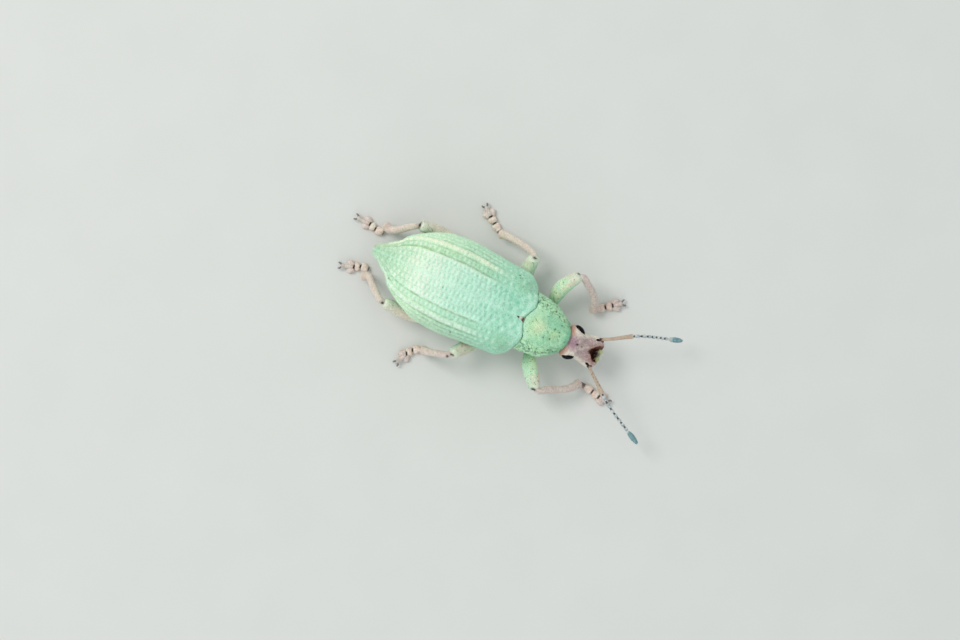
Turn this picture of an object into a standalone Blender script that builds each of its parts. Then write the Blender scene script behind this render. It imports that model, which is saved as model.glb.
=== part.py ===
# Golden-headed weevil, life size, standing still. Lengths below are in millimetres.
# Body points are (x, s, z): x to the animal's left, s toward the head, z up from the floor.
import math

import bmesh
import bpy
import numpy as np

for old in list(bpy.data.objects):
    bpy.data.objects.remove(old, do_unlink=True)

MM = 0.001
TWO_PI = 2 * math.pi

# Gaps that the separate pieces keep.
PLATE_GAP = 0.14
DOME_GAP = 0.26
LIMB_GAP = 0.12
EYE_GAP = 0.07

# Wing covers.
ELYTRA_FRONT = 0.24
ELYTRA_APEX = -7.74
ELYTRA_THICK = 0.45
THICK_SHARE = 0.62
ELYTRA_RIM_DROP = 0.42
SUTURE_HALF_GAP = 0.06
BASE_LOBE = 0.27
BASE_LOBE_SPAN = 1.72
RIDGE_DEPTH = 0.06
ELYTRA_S = (0.24, 0.0, -0.38, -1.14, -2.1, -3.33, -4.38, -5.38, -5.85, -6.4, -6.64, -6.92, -7.2, -7.46, -7.66)
ELYTRA_HALF = (1.62, 1.89, 2.11, 2.16, 2.23, 2.33, 2.26, 1.90, 1.64, 1.28, 0.97, 0.76, 0.56, 0.36, 0.20)
ELYTRA_TOP_S = (0.24, -1.0, -2.5, -3.5, -4.5, -5.5, -6.3, -6.9, -7.3, -7.66)
ELYTRA_TOP = (3.62, 4.05, 4.35, 4.42, 4.30, 3.95, 3.40, 2.80, 2.35, 1.85)
MARGIN_S = (0.24, -2.0, -5.0, -6.5, -7.66)
MARGIN_LEVEL = (2.15, 2.0, 2.0, 1.8, 1.55)
STRIA_DEGREES = (7.5, 17.0, 24.0, 31.0, 40.5, 53.0, 64.0, 75.0, 86.0, 97.0)
RIM_DEGREES = 108.0
LAST_CREST_DEGREES = 102.0
SECTION_POWER = 0.88

# Belly and hidden back under the wing covers.
BELLY_S = (0.24, -1.0, -3.0, -5.0, -6.5, -7.5)
BELLY_LEVEL = (0.95, 0.84, 0.82, 0.92, 1.10, 1.24)
THORAX_END = -3.0
ABDOMEN_END = -7.2
VENTRITES = (-3.9, -4.8, -5.7, -6.5)
SCUTELLUM_HALF = 0.2
SCUTELLUM_HIND = -0.27

# Pronotum.
PRONOTUM_HIND = 0.40
PRONOTUM_FRONT = 2.6
PRONOTUM_S = (0.40, 0.76, 1.14, 1.52, 1.9, 2.28, 2.6)
PRONOTUM_HALF = (1.45, 1.43, 1.37, 1.26, 1.08, 0.92, 0.79)
PRONOTUM_TOP = (3.56, 3.68, 3.70, 3.62, 3.48, 3.30, 3.10)
PRONOTUM_BOTTOM = (1.15, 1.05, 1.0, 1.0, 1.08, 1.25, 1.42)
FRONT_CURVE = 0.24
PRONOTUM_POWER = 0.95
PRONOTUM_REAR_POLE = (0, 0.62, 2.3)
PRONOTUM_COLLAR = ((0.03, 0.96), (0.10, 0.93), (0.26, 0.92))

# Head: stations (s, z, tilt in degrees, half width, half height, squareness).
HEAD_RINGS = (
    (2.44, 2.24, 0, 0.58, 0.60, 2.0),
    (2.51, 2.25, 3, 0.75, 0.63, 2.0),
    (2.61, 2.25, 5, 0.82, 0.66, 2.1),
    (2.76, 2.25, 9, 0.80, 0.71, 2.2),
    (2.92, 2.22, 14, 0.73, 0.70, 2.2),
    (3.12, 2.14, 22, 0.64, 0.62, 2.4),
    (3.28, 2.06, 28, 0.65, 0.56, 2.7),
    (3.50, 1.93, 34, 0.69, 0.50, 3.0),
    (3.80, 1.72, 36, 0.755, 0.44, 3.0),
    (3.98, 1.59, 38, 0.79, 0.39, 3.0),
    (4.08, 1.52, 38, 0.70, 0.35, 2.8),
    (4.18, 1.45, 38, 0.58, 0.28, 2.4),
)
HEAD_TIP = (0, 4.24, 1.40)
CHANNEL_DEPTH = 0.05
EYE_CENTRE = (0.70, 2.92, 2.42)
EYE_RADII = (0.15, 0.285, 0.24)
EYE_TURN = 22.0
SCROBE_CENTRE = (0.62, 3.92, 2.00)
SCROBE_RADII = (0.085, 0.20, 0.20)
SCROBE_TURN = -24.0
FEELER_SEAT = (0.77, 4.10, 1.89)
FEELER_SEAT_RADIUS = 0.23
# Jaw stations: s, half width, lowest and highest level.
JAW_RINGS = (
    (3.98, 0.16, 1.34, 1.62), (4.05, 0.21, 1.28, 1.66), (4.15, 0.22, 1.24, 1.60),
    (4.25, 0.19, 1.20, 1.50), (4.33, 0.12, 1.20, 1.40),
)
MOUTH_CENTRE = (0.0, 4.30, 1.80)
MOUTH_RADII = (0.41, 0.54, 0.70)

# Coxae: centre and radii, one side, mirrored to the other.
FRONT_COXA = ((0.46, 1.30, 0.96), (0.42, 0.40, 0.42))
MIDDLE_COXA = ((0.68, -0.60, 0.86), (0.38, 0.38, 0.36))
HIND_COXA = ((0.88, -2.64, 0.84), (0.44, 0.32, 0.34))

# Legs: path of each femur, tibia and tarsus, then the claw tip.
LEGS = {
    "front_left": {
        "femur": (
            (1.04, 1.27, 0.86), (1.53, 1.21, 1.08), (2.03, 1.25, 1.5),
            (2.53, 1.48, 1.8), (2.98, 1.78, 2.0),
        ),
        "tibia": (
            (3.05, 1.98, 1.95), (2.84, 2.34, 1.7), (2.55, 2.76, 1.3),
            (2.20, 3.03, 0.9), (1.84, 3.19, 0.5),
        ),
        "tarsus": ((2.01, 3.33), (2.24, 3.63), (2.47, 3.92), (2.66, 4.18), (2.88, 4.43)),
    },
    "front_right": {
        "femur": (
            (-1.03, 1.26, 0.86), (-1.46, 1.29, 1.06), (-1.96, 1.54, 1.4),
            (-2.42, 1.89, 1.6), (-2.74, 2.14, 1.7),
        ),
        "tibia": (
            (-2.80, 2.32, 1.65), (-2.57, 2.75, 1.45), (-2.32, 3.27, 1.15),
            (-2.07, 3.69, 0.9), (-1.66, 4.05, 0.5),
        ),
        "tarsus": ((-1.65, 4.38), (-1.74, 4.8), (-1.84, 5.2), (-1.88, 5.5), (-1.89, 5.88)),
    },
    "middle_left": {
        "femur": (
            (1.22, -0.58, 0.62), (1.64, -0.58, 0.68), (2.14, -0.59, 1.0),
            (2.59, -0.56, 1.38), (2.89, -0.51, 1.6),
        ),
        "tibia": (
            (3.06, -0.67, 1.58), (3.20, -1.14, 1.4), (3.28, -1.70, 1.1),
            (3.31, -2.21, 0.75), (3.29, -2.48, 0.5),
        ),
        "tarsus": ((3.41, -2.66), (3.63, -2.98), (3.85, -3.29), (4.03, -3.52), (4.28, -3.85)),
    },
    "middle_right": {
        "femur": (
            (-1.27, -0.88, 0.56), (-1.62, -1.12, 0.60), (-2.11, -1.5, 1.05),
            (-2.57, -1.85, 1.6), (-2.92, -2.12, 1.95),
        ),
        "tibia": (
            (-3.10, -2.34, 1.9), (-3.25, -2.76, 1.6), (-3.35, -3.12, 1.2),
            (-3.41, -3.38, 0.8), (-3.42, -3.46, 0.5),
        ),
        "tarsus": ((-3.45, -3.66), (-3.63, -3.97), (-3.92, -4.15), (-4.22, -4.28), (-4.66, -4.46)),
    },
    "hind_left": {
        "femur": (
            (1.14, -3.10, 0.58), (1.66, -3.80, 0.62), (1.98, -4.65, 0.80),
            (2.06, -5.45, 1.25), (1.98, -6.09, 1.75),
        ),
        "tibia": (
            (1.84, -6.34, 1.85), (1.55, -6.76, 1.5), (1.28, -7.14, 1.0),
            (1.18, -7.46, 0.55), (1.27, -7.72, 0.42),
        ),
        "tarsus": ((0.88, -7.72), (0.90, -8.11), (1.01, -8.45), (1.01, -8.75), (1.06, -9.30)),
    },
    "hind_right": {
        "femur": (
            (-1.14, -3.10, 0.58), (-1.68, -3.80, 0.62), (-2.02, -4.55, 0.80),
            (-2.14, -5.35, 1.25), (-2.13, -6.09, 1.75),
        ),
        "tibia": (
            (-2.09, -6.37, 1.85), (-1.81, -6.76, 1.5), (-1.51, -7.14, 1.0),
            (-1.30, -7.41, 0.55), (-1.42, -7.70, 0.42),
        ),
        "tarsus": ((-0.98, -7.62), (-1.03, -7.99), (-1.20, -8.27), (-1.29, -8.5), (-1.46, -9.02)),
    },
}
FEMUR_RADII = (0.20, 0.29, 0.335, 0.29, 0.27)
TIBIA_RADII = (0.235, 0.24, 0.245, 0.25, 0.27)
TARSUS_HEIGHT = 0.34
CLAW_REACH = 0.16
LOBE_LENGTH = 0.34

# Feelers.
ANTENNAE = {
    "left": {
        "scape": ((0.78, 4.12, 1.90), (0.99, 4.54, 2.15), (1.31, 5.03, 2.35), (1.44, 5.24, 2.42)),
        "funicle": ((1.58, 5.49, 2.45), (1.82, 6.05, 2.2), (2.0, 6.57, 1.9), (2.11, 6.94, 1.68)),
        "club": ((2.15, 7.08, 1.61), (2.22, 7.28, 1.53), (2.34, 7.64, 1.4)),
    },
    "right": {
        "scape": ((-0.78, 4.12, 1.87), (-1.10, 4.55, 2.0), (-1.42, 4.95, 2.1), (-1.53, 5.09, 2.1)),
        "funicle": ((-1.73, 5.32, 2.1), (-2.06, 5.81, 1.95), (-2.36, 6.38, 1.75), (-2.71, 7.07, 1.52)),
        "club": ((-2.79, 7.22, 1.48), (-2.89, 7.42, 1.43), (-3.08, 7.79, 1.35)),
    },
}
SCAPE_RADII = (0.11, 0.18, 0.22, 0.23)
FUNICLE_WAIST = 0.17
FUNICLE_BEAD = 0.23
FUNICLE_BEADS = 7
CLUB_RADII = (0.16, 0.25, 0.06)

# Colours and finish of each kind of surface.
FINISHES = {
    "mint_scales": ((0.52, 0.85, 0.70), 0.42, 0.0),
    "pronotum_scales": ((0.47, 0.74, 0.51), 0.45, 0.0),
    "head_scales": ((0.42, 0.28, 0.26), 0.45, 0.0),
    "eye_black": ((0.008, 0.008, 0.010), 0.12, 0.0),
    "mouth_brown": ((0.035, 0.014, 0.010), 0.35, 0.0),
    "belly_scales": ((0.50, 0.70, 0.55), 0.50, 0.0),
    "femur_scales": ((0.52, 0.66, 0.50), 0.45, 0.0),
    "tibia_scales": ((0.62, 0.52, 0.46), 0.48, 0.0),
    "tarsus_scales": ((0.55, 0.48, 0.50), 0.50, 0.0),
    "feeler_scales": ((0.40, 0.38, 0.38), 0.50, 0.0),
    "club_grey": ((0.12, 0.16, 0.19), 0.55, 0.0),
}

materials = {}
for slot, (colour, roughness, metallic) in FINISHES.items():
    material = bpy.data.materials.new(slot)
    material.use_nodes = True
    shader = material.node_tree.nodes["Principled BSDF"]
    shader.inputs["Base Color"].default_value = (*colour, 1)
    shader.inputs["Roughness"].default_value = roughness
    shader.inputs["Metallic"].default_value = metallic
    material.diffuse_color = (*colour, 1)
    materials[slot] = material


def through(stations, values, wanted):
    # Smooth curve through the values that never overshoots them.
    order = np.argsort(stations)
    t = np.asarray(stations, float)[order]
    v = np.asarray(values, float)[order]
    step = np.diff(t)
    rise = np.diff(v) / step
    slope = np.empty_like(v)
    slope[0] = rise[0]
    slope[-1] = rise[-1]
    before, after = rise[:-1], rise[1:]
    same = before * after > 0
    safe = np.where(same, before + after, 1.0)
    slope[1:-1] = np.where(same, 2 * before * after / safe, 0.0)
    w = np.clip(np.asarray(wanted, float), t[0], t[-1])
    i = np.clip(np.searchsorted(t, w, side="right") - 1, 0, len(step) - 1)
    f = (w - t[i]) / step[i]
    return (
        v[i] * (1 + 2 * f) * (1 - f) ** 2
        + slope[i] * step[i] * f * (1 - f) ** 2
        + v[i + 1] * f**2 * (3 - 2 * f)
        + slope[i + 1] * step[i] * f**2 * (f - 1)
    )


def along(points, count):
    # Evenly spaced points on a smooth path through the given ones, and the share of the path at each.
    points = np.asarray(points, float)
    knots = np.concatenate([[0], np.cumsum(np.linalg.norm(np.diff(points, axis=0), axis=1))])
    share = np.linspace(0, 1, count)
    where = share * knots[-1]
    path = np.column_stack([through(knots, points[:, axis], where) for axis in range(3)])
    return path, share


def signed_power(value, power):
    return np.sign(value) * np.abs(value) ** power


def new_object(name, points, faces, slot):
    points = np.asarray(points, float)
    placed = np.column_stack([points[:, 0], -points[:, 1], points[:, 2]]) * MM
    mesh = bpy.data.meshes.new(name)
    mesh.from_pydata(placed.tolist(), [], [tuple(int(i) for i in face) for face in faces])
    shaped = bmesh.new()
    shaped.from_mesh(mesh)
    bmesh.ops.recalc_face_normals(shaped, faces=shaped.faces)
    shaped.to_mesh(mesh)
    shaped.free()
    mesh.shade_smooth()
    mesh.materials.append(materials[slot])
    made = bpy.data.objects.new(name, mesh)
    bpy.context.scene.collection.objects.link(made)
    return made


def loft(name, rings, slot, first_pole=None, last_pole=None, flat_ends=False):
    # Closed surface over rings of equal count, each quad split the same way, ends closed flat or on a pole.
    rings = np.asarray(rings, float)
    count, around = rings.shape[:2]
    points = list(rings.reshape(-1, 3))
    faces = []
    for i in range(count - 1):
        for j in range(around):
            k = (j + 1) % around
            a, b = i * around + j, i * around + k
            c, d = (i + 1) * around + k, (i + 1) * around + j
            faces.append((a, b, c))
            faces.append((a, c, d))
    if flat_ends:
        faces.append(tuple(range(around)))
        faces.append(tuple(range((count - 1) * around, count * around)))
        return new_object(name, points, faces, slot)
    start = len(points)
    points.append(rings[0].mean(axis=0) if first_pole is None else first_pole)
    points.append(rings[-1].mean(axis=0) if last_pole is None else last_pole)
    for j in range(around):
        k = (j + 1) % around
        faces.append((start, k, j))
        faces.append((start + 1, (count - 1) * around + j, (count - 1) * around + k))
    return new_object(name, points, faces, slot)


def tube(name, points, radii, slot, around=12, steps=8, wide=1.0, end_round=0.5, start_round=0.15):
    # Round limb along a path, its ends closed by low domes.
    path, share = along(points, steps)
    radius = through(np.linspace(0, 1, len(radii)), radii, share)
    tangent = np.gradient(path, axis=0)
    tangent /= np.linalg.norm(tangent, axis=1)[:, None]
    side = np.cross(tangent, (0, 0, 1.0))
    side /= np.linalg.norm(side, axis=1)[:, None]
    up = np.cross(side, tangent)
    turn = np.linspace(0, TWO_PI, around, endpoint=False)
    rings = (
        path[:, None]
        + np.cos(turn)[None, :, None] * side[:, None] * (radius * wide)[:, None, None]
        + np.sin(turn)[None, :, None] * up[:, None] * radius[:, None, None]
    )
    inset = 0.86
    first = path[0] + (rings[0] - path[0]) * inset - tangent[0] * radius[0] * start_round * 0.6
    last = path[-1] + (rings[-1] - path[-1]) * inset + tangent[-1] * radius[-1] * end_round * 0.6
    rings = np.concatenate([first[None], rings, last[None]])
    return loft(
        name,
        rings,
        slot,
        path[0] - tangent[0] * radius[0] * start_round,
        path[-1] + tangent[-1] * radius[-1] * end_round,
    )


def ellipsoid(name, centre, radii, slot, around=16, rows=8, swing=0.0):
    # Swing turns it about the upright axis, in degrees, its head end moving to the animal's right.
    turn = np.linspace(0, TWO_PI, around, endpoint=False)
    c, d = math.cos(math.radians(swing)), math.sin(math.radians(swing))
    swung = np.array(((c, d, 0), (-d, c, 0), (0, 0, 1)))
    rings = []
    for row in range(1, rows):
        lift = math.pi * row / rows
        ring = np.column_stack([np.cos(turn), np.sin(turn), np.full(around, 0.0)]) * math.sin(lift)
        ring[:, 2] = math.cos(lift)
        rings.append(np.asarray(centre) + (ring * np.asarray(radii)) @ swung)
    top = np.asarray(centre) + (0, 0, radii[2])
    bottom = np.asarray(centre) - (0, 0, radii[2])
    return loft(name, rings, slot, top, bottom)


def largest_only(made):
    shaped = bmesh.new()
    shaped.from_mesh(made.data)
    unseen = set(shaped.faces)
    groups = []
    while unseen:
        stack = [unseen.pop()]
        group = list(stack)
        while stack:
            for edge in stack.pop().edges:
                for face in edge.link_faces:
                    if face in unseen:
                        unseen.remove(face)
                        stack.append(face)
                        group.append(face)
        groups.append(group)
    groups.sort(key=lambda g: sum(face.calc_area() for face in g))
    for group in groups[:-1]:
        bmesh.ops.delete(shaped, geom=group, context="FACES")
    loose = [vertex for vertex in shaped.verts if not vertex.link_faces]
    bmesh.ops.delete(shaped, geom=loose, context="VERTS")
    bmesh.ops.remove_doubles(shaped, verts=shaped.verts, dist=2e-6)
    shaped.to_mesh(made.data)
    shaped.free()
    made.data.shade_smooth()


def apply_boolean(made, pieces, operation):
    # One Boolean on the whole collection of closed pieces, applied, and the pieces removed.
    group = bpy.data.collections.new(made.name + "_pieces")
    bpy.context.scene.collection.children.link(group)
    for piece in pieces:
        bpy.context.scene.collection.objects.unlink(piece)
        group.objects.link(piece)
    modifier = made.modifiers.new("pieces", "BOOLEAN")
    modifier.operation = operation
    modifier.operand_type = "COLLECTION"
    modifier.collection = group
    modifier.solver = "EXACT"
    bpy.context.view_layer.objects.active = made
    with bpy.context.temp_override(object=made, active_object=made, selected_objects=[made]):
        bpy.ops.object.modifier_apply(modifier=modifier.name)
    for piece in pieces:
        bpy.data.objects.remove(piece, do_unlink=True)
    bpy.data.collections.remove(group)
    largest_only(made)


def base_shift(x, s, start):
    # How far the lobed base of the wing covers reaches toward the head at each width.
    lobe = BASE_LOBE * np.sin(math.pi * np.minimum(np.abs(x), BASE_LOBE_SPAN) / BASE_LOBE_SPAN) ** 2
    return lobe * np.clip((s + 1.0) / (start + 1.0), 0, 1) ** 2


def elytra_sizes(s):
    half = float(through(ELYTRA_S, ELYTRA_HALF, s))
    top = float(through(ELYTRA_TOP_S, ELYTRA_TOP, s))
    level = float(through(MARGIN_S, MARGIN_LEVEL, s))
    drop = min(ELYTRA_RIM_DROP, half)
    return half, top, level, drop


def scutellum_half(s):
    share = (s - SCUTELLUM_HIND) / (ELYTRA_FRONT - SCUTELLUM_HIND)
    return SCUTELLUM_HALF * min(max(share, 0.0), 1.0)


# Wing covers: striae are valleys in the outer arc and the intervals between them its crests.
stria = np.array(STRIA_DEGREES)
crest = np.concatenate([[0.0], (stria[:-1] + stria[1:]) / 2, [LAST_CREST_DEGREES]])
arc_degrees = np.empty(len(stria) + len(crest))
arc_degrees[0::2] = crest
arc_degrees[1::2] = stria
arc_degrees = np.append(arc_degrees, RIM_DEGREES)
arc_relief = np.zeros(len(arc_degrees))
arc_relief[1:-1:2] = 1.0
inner_degrees = np.linspace(RIM_DEGREES, 0.0, 9)


def elytron_ring(s):
    half, top, level, drop = elytra_sizes(s)
    suture = max(SUTURE_HALF_GAP, scutellum_half(s) + 0.10 if s > SCUTELLUM_HIND - 0.15 else 0.0)
    relief = RIDGE_DEPTH * min(1.0, half / 1.2) * (0.45 if s > -0.3 else 1.0)
    thick = min(ELYTRA_THICK, THICK_SHARE * half)

    def arc(degrees, cut, depth):
        phi = np.radians(degrees)
        across, up = np.sin(phi), np.cos(phi)
        wide = half - suture - cut - depth
        rise = np.where(up > 0, top - level - cut - depth, drop)
        x = suture + wide * signed_power(across, SECTION_POWER)
        z = level + rise * signed_power(up, SECTION_POWER)
        return np.column_stack([x, np.full_like(x, s), z])

    outer = arc(arc_degrees, 0.0, arc_relief * relief)
    inner = arc(inner_degrees, thick, 0.0)
    inner[0, 2] = outer[-1, 2]
    ring = np.concatenate([outer, inner])
    ring[:, 1] += base_shift(ring[:, 0], s, ELYTRA_FRONT)
    return ring


elytra_stations = (
    0.24, 0.12, 0.0, -0.14, -0.3, -0.6, -1.0, -1.5, -2.0, -2.6, -3.2, -3.8, -4.4, -4.9,
    -5.35, -5.75, -6.1, -6.38, -6.52, -6.66, -6.88, -7.12, -7.35, -7.55, -7.66,
)
elytron_rings = np.array([elytron_ring(s) for s in elytra_stations])
for side_name, sign in (("left", 1), ("right", -1)):
    rings = elytron_rings * (sign, 1, 1)
    middle = rings[-1].mean(axis=0)
    tip = middle + (rings[-1] - middle) * 0.5
    tip[:, 1] = ELYTRA_APEX
    rings = np.concatenate([rings, tip[None]])
    loft("elytron_" + side_name, rings, "mint_scales", flat_ends=True)


# Under body: dome that fits inside the wing covers, a ledge under their rim, and the belly.
def under_ring(s, belly_lift=0.0, scale=1.0):
    half, top, level, drop = elytra_sizes(s)
    thick = min(ELYTRA_THICK, THICK_SHARE * half)
    inside = thick + DOME_GAP
    rim = level + drop * signed_power(np.cos(math.radians(RIM_DEGREES)), SECTION_POWER)
    rim_x = half * math.sin(math.radians(RIM_DEGREES)) ** SECTION_POWER
    belly = float(through(BELLY_S, BELLY_LEVEL, s)) + belly_lift
    phi = np.radians(np.linspace(0, 96, 8))
    dome_x = max(half - inside, 0.05) * np.sin(phi) ** SECTION_POWER
    dome_z = level + np.where(
        np.cos(phi) > 0, max(top - level - inside, 0.05), drop
    ) * signed_power(np.cos(phi), SECTION_POWER)
    floor_z = rim - PLATE_GAP
    neck_x = max(rim_x - inside, 0.04)
    ledge = [(neck_x, floor_z), (rim_x * 0.985, floor_z)]
    psi = np.radians(np.linspace(18, 90, 6))
    side_x = rim_x * 0.985 * np.cos(psi) ** SECTION_POWER
    side_z = floor_z - (floor_z - belly) * np.sin(psi)
    right = list(zip(dome_x, dome_z)) + ledge + list(zip(side_x, side_z))
    left = [(-x, z) for x, z in right[-2:0:-1]]
    ring = np.array([(x, s, z) for x, z in right + left])
    middle = np.array((0, s, (rim + belly) / 2))
    ring = middle + (ring - middle) * scale
    ring[:, 1] += base_shift(ring[:, 0], s, ELYTRA_FRONT)
    return ring


thorax_stations = (0.13, -0.1, -0.5, -1.0, -1.6, -2.2, -2.7, THORAX_END)
hind_thorax = loft("hind_thorax", [under_ring(s) for s in thorax_stations], "belly_scales", flat_ends=True)
coxae = []
for sign in (1, -1):
    for label, (centre, radii) in (("middle", MIDDLE_COXA), ("hind", HIND_COXA)):
        placed = (centre[0] * sign, centre[1], centre[2])
        coxae.append(ellipsoid(f"{label}_coxa_{sign}", placed, radii, "belly_scales", 12, 6))
scutellum_rings = []
for s in (0.16, 0.0, -0.14, -0.24):
    reach = scutellum_half(s)
    low, high = 2.6, float(through(ELYTRA_TOP_S, ELYTRA_TOP, s)) - 0.02
    scutellum_rings.append(
        [(-reach, s, low), (reach, s, low), (reach, s, high - 0.03), (0, s, high), (-reach, s, high - 0.03)]
    )
scutellum = loft("scutellum_boss", scutellum_rings, "belly_scales")
apply_boolean(hind_thorax, coxae + [scutellum], "UNION")

abdomen_start = THORAX_END - PLATE_GAP
abdomen_stations = [(abdomen_start, 0.0)]
for groove in VENTRITES:
    abdomen_stations += [(groove + 0.07, 0.0), (groove, 0.09), (groove - 0.07, 0.0)]
abdomen_stations += [(-6.9, 0.0), (ABDOMEN_END, 0.0)]
abdomen_rings = [under_ring(s, lift) for s, lift in abdomen_stations]
loft("abdomen", abdomen_rings, "belly_scales", flat_ends=True)


# Pronotum with the front coxae, its front edge a collar round the neck.
def pronotum_ring(s, around=36, scale=1.0, set_back=0.0):
    half = float(through(PRONOTUM_S, PRONOTUM_HALF, s)) * scale
    top = float(through(PRONOTUM_S, PRONOTUM_TOP, s))
    bottom = float(through(PRONOTUM_S, PRONOTUM_BOTTOM, s))
    level = 0.5 * (top + bottom) - 0.08
    turn = np.linspace(0, TWO_PI, around, endpoint=False)
    x = half * signed_power(np.sin(turn), PRONOTUM_POWER)
    up = np.cos(turn)
    rise = np.where(up > 0, top - level, level - bottom) * scale
    z = level + rise * signed_power(up, PRONOTUM_POWER)
    back = np.clip((1.4 - s) / (1.4 - PRONOTUM_HIND), 0, 1) ** 2
    lobe = BASE_LOBE * np.sin(math.pi * np.minimum(np.abs(x), BASE_LOBE_SPAN) / BASE_LOBE_SPAN) ** 2
    front = np.clip((s - 1.6) / (PRONOTUM_FRONT - 1.6), 0, 1) ** 2
    along_s = s - set_back + lobe * back - FRONT_CURVE * (x / 0.75) ** 2 * front
    return np.column_stack([x, along_s, z])


pronotum_stations = (PRONOTUM_HIND, 0.58, 0.76, 1.0, 1.25, 1.5, 1.75, 2.0, 2.2, 2.4, 2.52, 2.6)
pronotum_rings = [pronotum_ring(s) for s in pronotum_stations]
for set_back, scale in PRONOTUM_COLLAR:
    pronotum_rings.append(pronotum_ring(PRONOTUM_FRONT, scale=scale, set_back=set_back))
pronotum = loft("pronotum", pronotum_rings, "pronotum_scales", first_pole=PRONOTUM_REAR_POLE)
front_coxae = []
for sign in (1, -1):
    centre, radii = FRONT_COXA
    placed = (centre[0] * sign, centre[1], centre[2])
    front_coxae.append(ellipsoid(f"front_coxa_{sign}", placed, radii, "pronotum_scales", 12, 7))
apply_boolean(pronotum, front_coxae, "UNION")


# Head and rostrum in one piece, with raised sides on the rostrum.
def head_ring(s, z, tilt, half, high, square, around=30):
    angle = math.radians(tilt)
    turn = np.linspace(0, TWO_PI, around, endpoint=False)
    power = 2.0 / square
    across = half * signed_power(np.sin(turn), power)
    up = high * signed_power(np.cos(turn), power)
    channel = CHANNEL_DEPTH * np.clip((s - 2.95) / 0.3, 0, 1)
    up -= channel * np.exp(-((across / (0.42 * half)) ** 2)) * (np.cos(turn) > 0)
    return np.column_stack([across, s + up * math.sin(angle), z + up * math.cos(angle)])


head_rings = [head_ring(*row) for row in HEAD_RINGS]
head = loft("head", head_rings, "head_scales", last_pole=HEAD_TIP)
cutters = []
for sign in (1, -1):
    centre = (EYE_CENTRE[0] * sign, *EYE_CENTRE[1:])
    socket_radii = [r + EYE_GAP for r in EYE_RADII]
    cutters.append(ellipsoid(f"socket_{sign}", centre, socket_radii, "head_scales", 14, 8, EYE_TURN * sign))
    centre = (SCROBE_CENTRE[0] * sign, *SCROBE_CENTRE[1:])
    scrobe_swing = SCROBE_TURN * sign
    cutters.append(ellipsoid(f"scrobe_{sign}", centre, SCROBE_RADII, "head_scales", 12, 6, scrobe_swing))
    centre = (FEELER_SEAT[0] * sign, *FEELER_SEAT[1:])
    cutters.append(ellipsoid(f"seat_{sign}", centre, [FEELER_SEAT_RADIUS] * 3, "head_scales", 12, 7))
cutters.append(ellipsoid("mouth_notch", MOUTH_CENTRE, MOUTH_RADII, "head_scales", 16, 8))
apply_boolean(head, cutters, "DIFFERENCE")
for side_name, sign in (("left", 1), ("right", -1)):
    centre = (EYE_CENTRE[0] * sign, *EYE_CENTRE[1:])
    ellipsoid("eye_" + side_name, centre, EYE_RADII, "eye_black", 16, 8, EYE_TURN * sign)

# Mandibles: two blunt jaws side by side, seated in the notch of the rostrum.
jaw_turn = np.linspace(0, TWO_PI, 14, endpoint=False)
jaw_rings = []
for s, half, low, high in JAW_RINGS:
    x = half * np.sin(jaw_turn)
    lift = 0.5 * (high - low) * np.cos(jaw_turn)
    cleft = 0.05 * np.exp(-((x / 0.05) ** 2)) * (np.cos(jaw_turn) > 0)
    jaw_rings.append(np.column_stack([x, np.full_like(x, s), 0.5 * (high + low) + lift - cleft]))
loft("mandibles", jaw_rings, "mouth_brown")


# Tarsus segments share one low arched section with a flat sole.
SOLE_SHAPE = np.array(
    (
        (-0.72, 0.0), (0.72, 0.0), (1.0, 0.3), (0.92, 0.68),
        (0.5, 0.97), (-0.5, 0.97), (-0.92, 0.68), (-1.0, 0.3),
    )
)


def pad(name, start, end, widths, heights, lift=0.0):
    start, end = np.asarray(start, float), np.asarray(end, float)
    forward = (end - start) / np.linalg.norm(end - start)
    across = np.array((forward[1], -forward[0]))
    rings = []
    for share, width, height in zip(np.linspace(0, 1, len(widths)), widths, heights):
        centre = start + (end - start) * share
        flat = centre + SOLE_SHAPE[:, :1] * across * width / 2
        rings.append(np.column_stack([flat, lift + SOLE_SHAPE[:, 1] * height]))
    return loft(name, rings, "tarsus_scales")


def build_tarsus(name, path, ankle):
    path = np.asarray(path, float)
    tall = TARSUS_HEIGHT
    pieces = []
    first, second, third, last, tip = path
    step = lambda a, b, share: a + (b - a) * share
    made = pad(name, first, step(first, second, 1.06), (0.34, 0.44, 0.46, 0.38), (0.34, tall, tall, 0.30))
    start, end = step(second, third, -0.08), step(second, third, 1.06)
    pieces.append(pad("seg2", start, end, (0.34, 0.46, 0.48, 0.40), (0.26, tall, tall, 0.30)))
    ahead = (last - third) / np.linalg.norm(last - third)
    across = np.array((ahead[1], -ahead[0]))
    for sign in (1, -1):
        root = third - ahead * 0.08 + across * sign * 0.08
        end = third + ahead * LOBE_LENGTH + across * sign * 0.20
        pieces.append(pad(f"lobe{sign}", root, end, (0.26, 0.37, 0.36, 0.22), (0.28, 0.32, 0.30, 0.20)))
    slim = (tip - last) / np.linalg.norm(tip - last)
    reach = tip - slim * CLAW_REACH
    pieces.append(pad("claw_segment", third, reach, (0.26, 0.28, 0.31), (0.36, 0.39, 0.36)))
    side = np.array((slim[1], -slim[0]))
    for sign in (1, -1):
        base = reach - slim * 0.08 + side * sign * 0.07
        mid = reach + slim * 0.08 + side * sign * 0.12
        end = tip + side * sign * 0.13
        hook = ((*base, 0.20), (*mid, 0.18), (*end, 0.09))
        claw = tube(f"claw{sign}", hook, (0.09, 0.08, 0.045), "tarsus_scales", 5, 3)
        pieces.append(claw)
    apply_boolean(made, pieces, "UNION")
    clear = [TIBIA_RADII[-1] + LIMB_GAP] * 3
    apply_boolean(made, [ellipsoid("ankle", ankle, clear, "tarsus_scales", 12, 7)], "DIFFERENCE")


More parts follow.
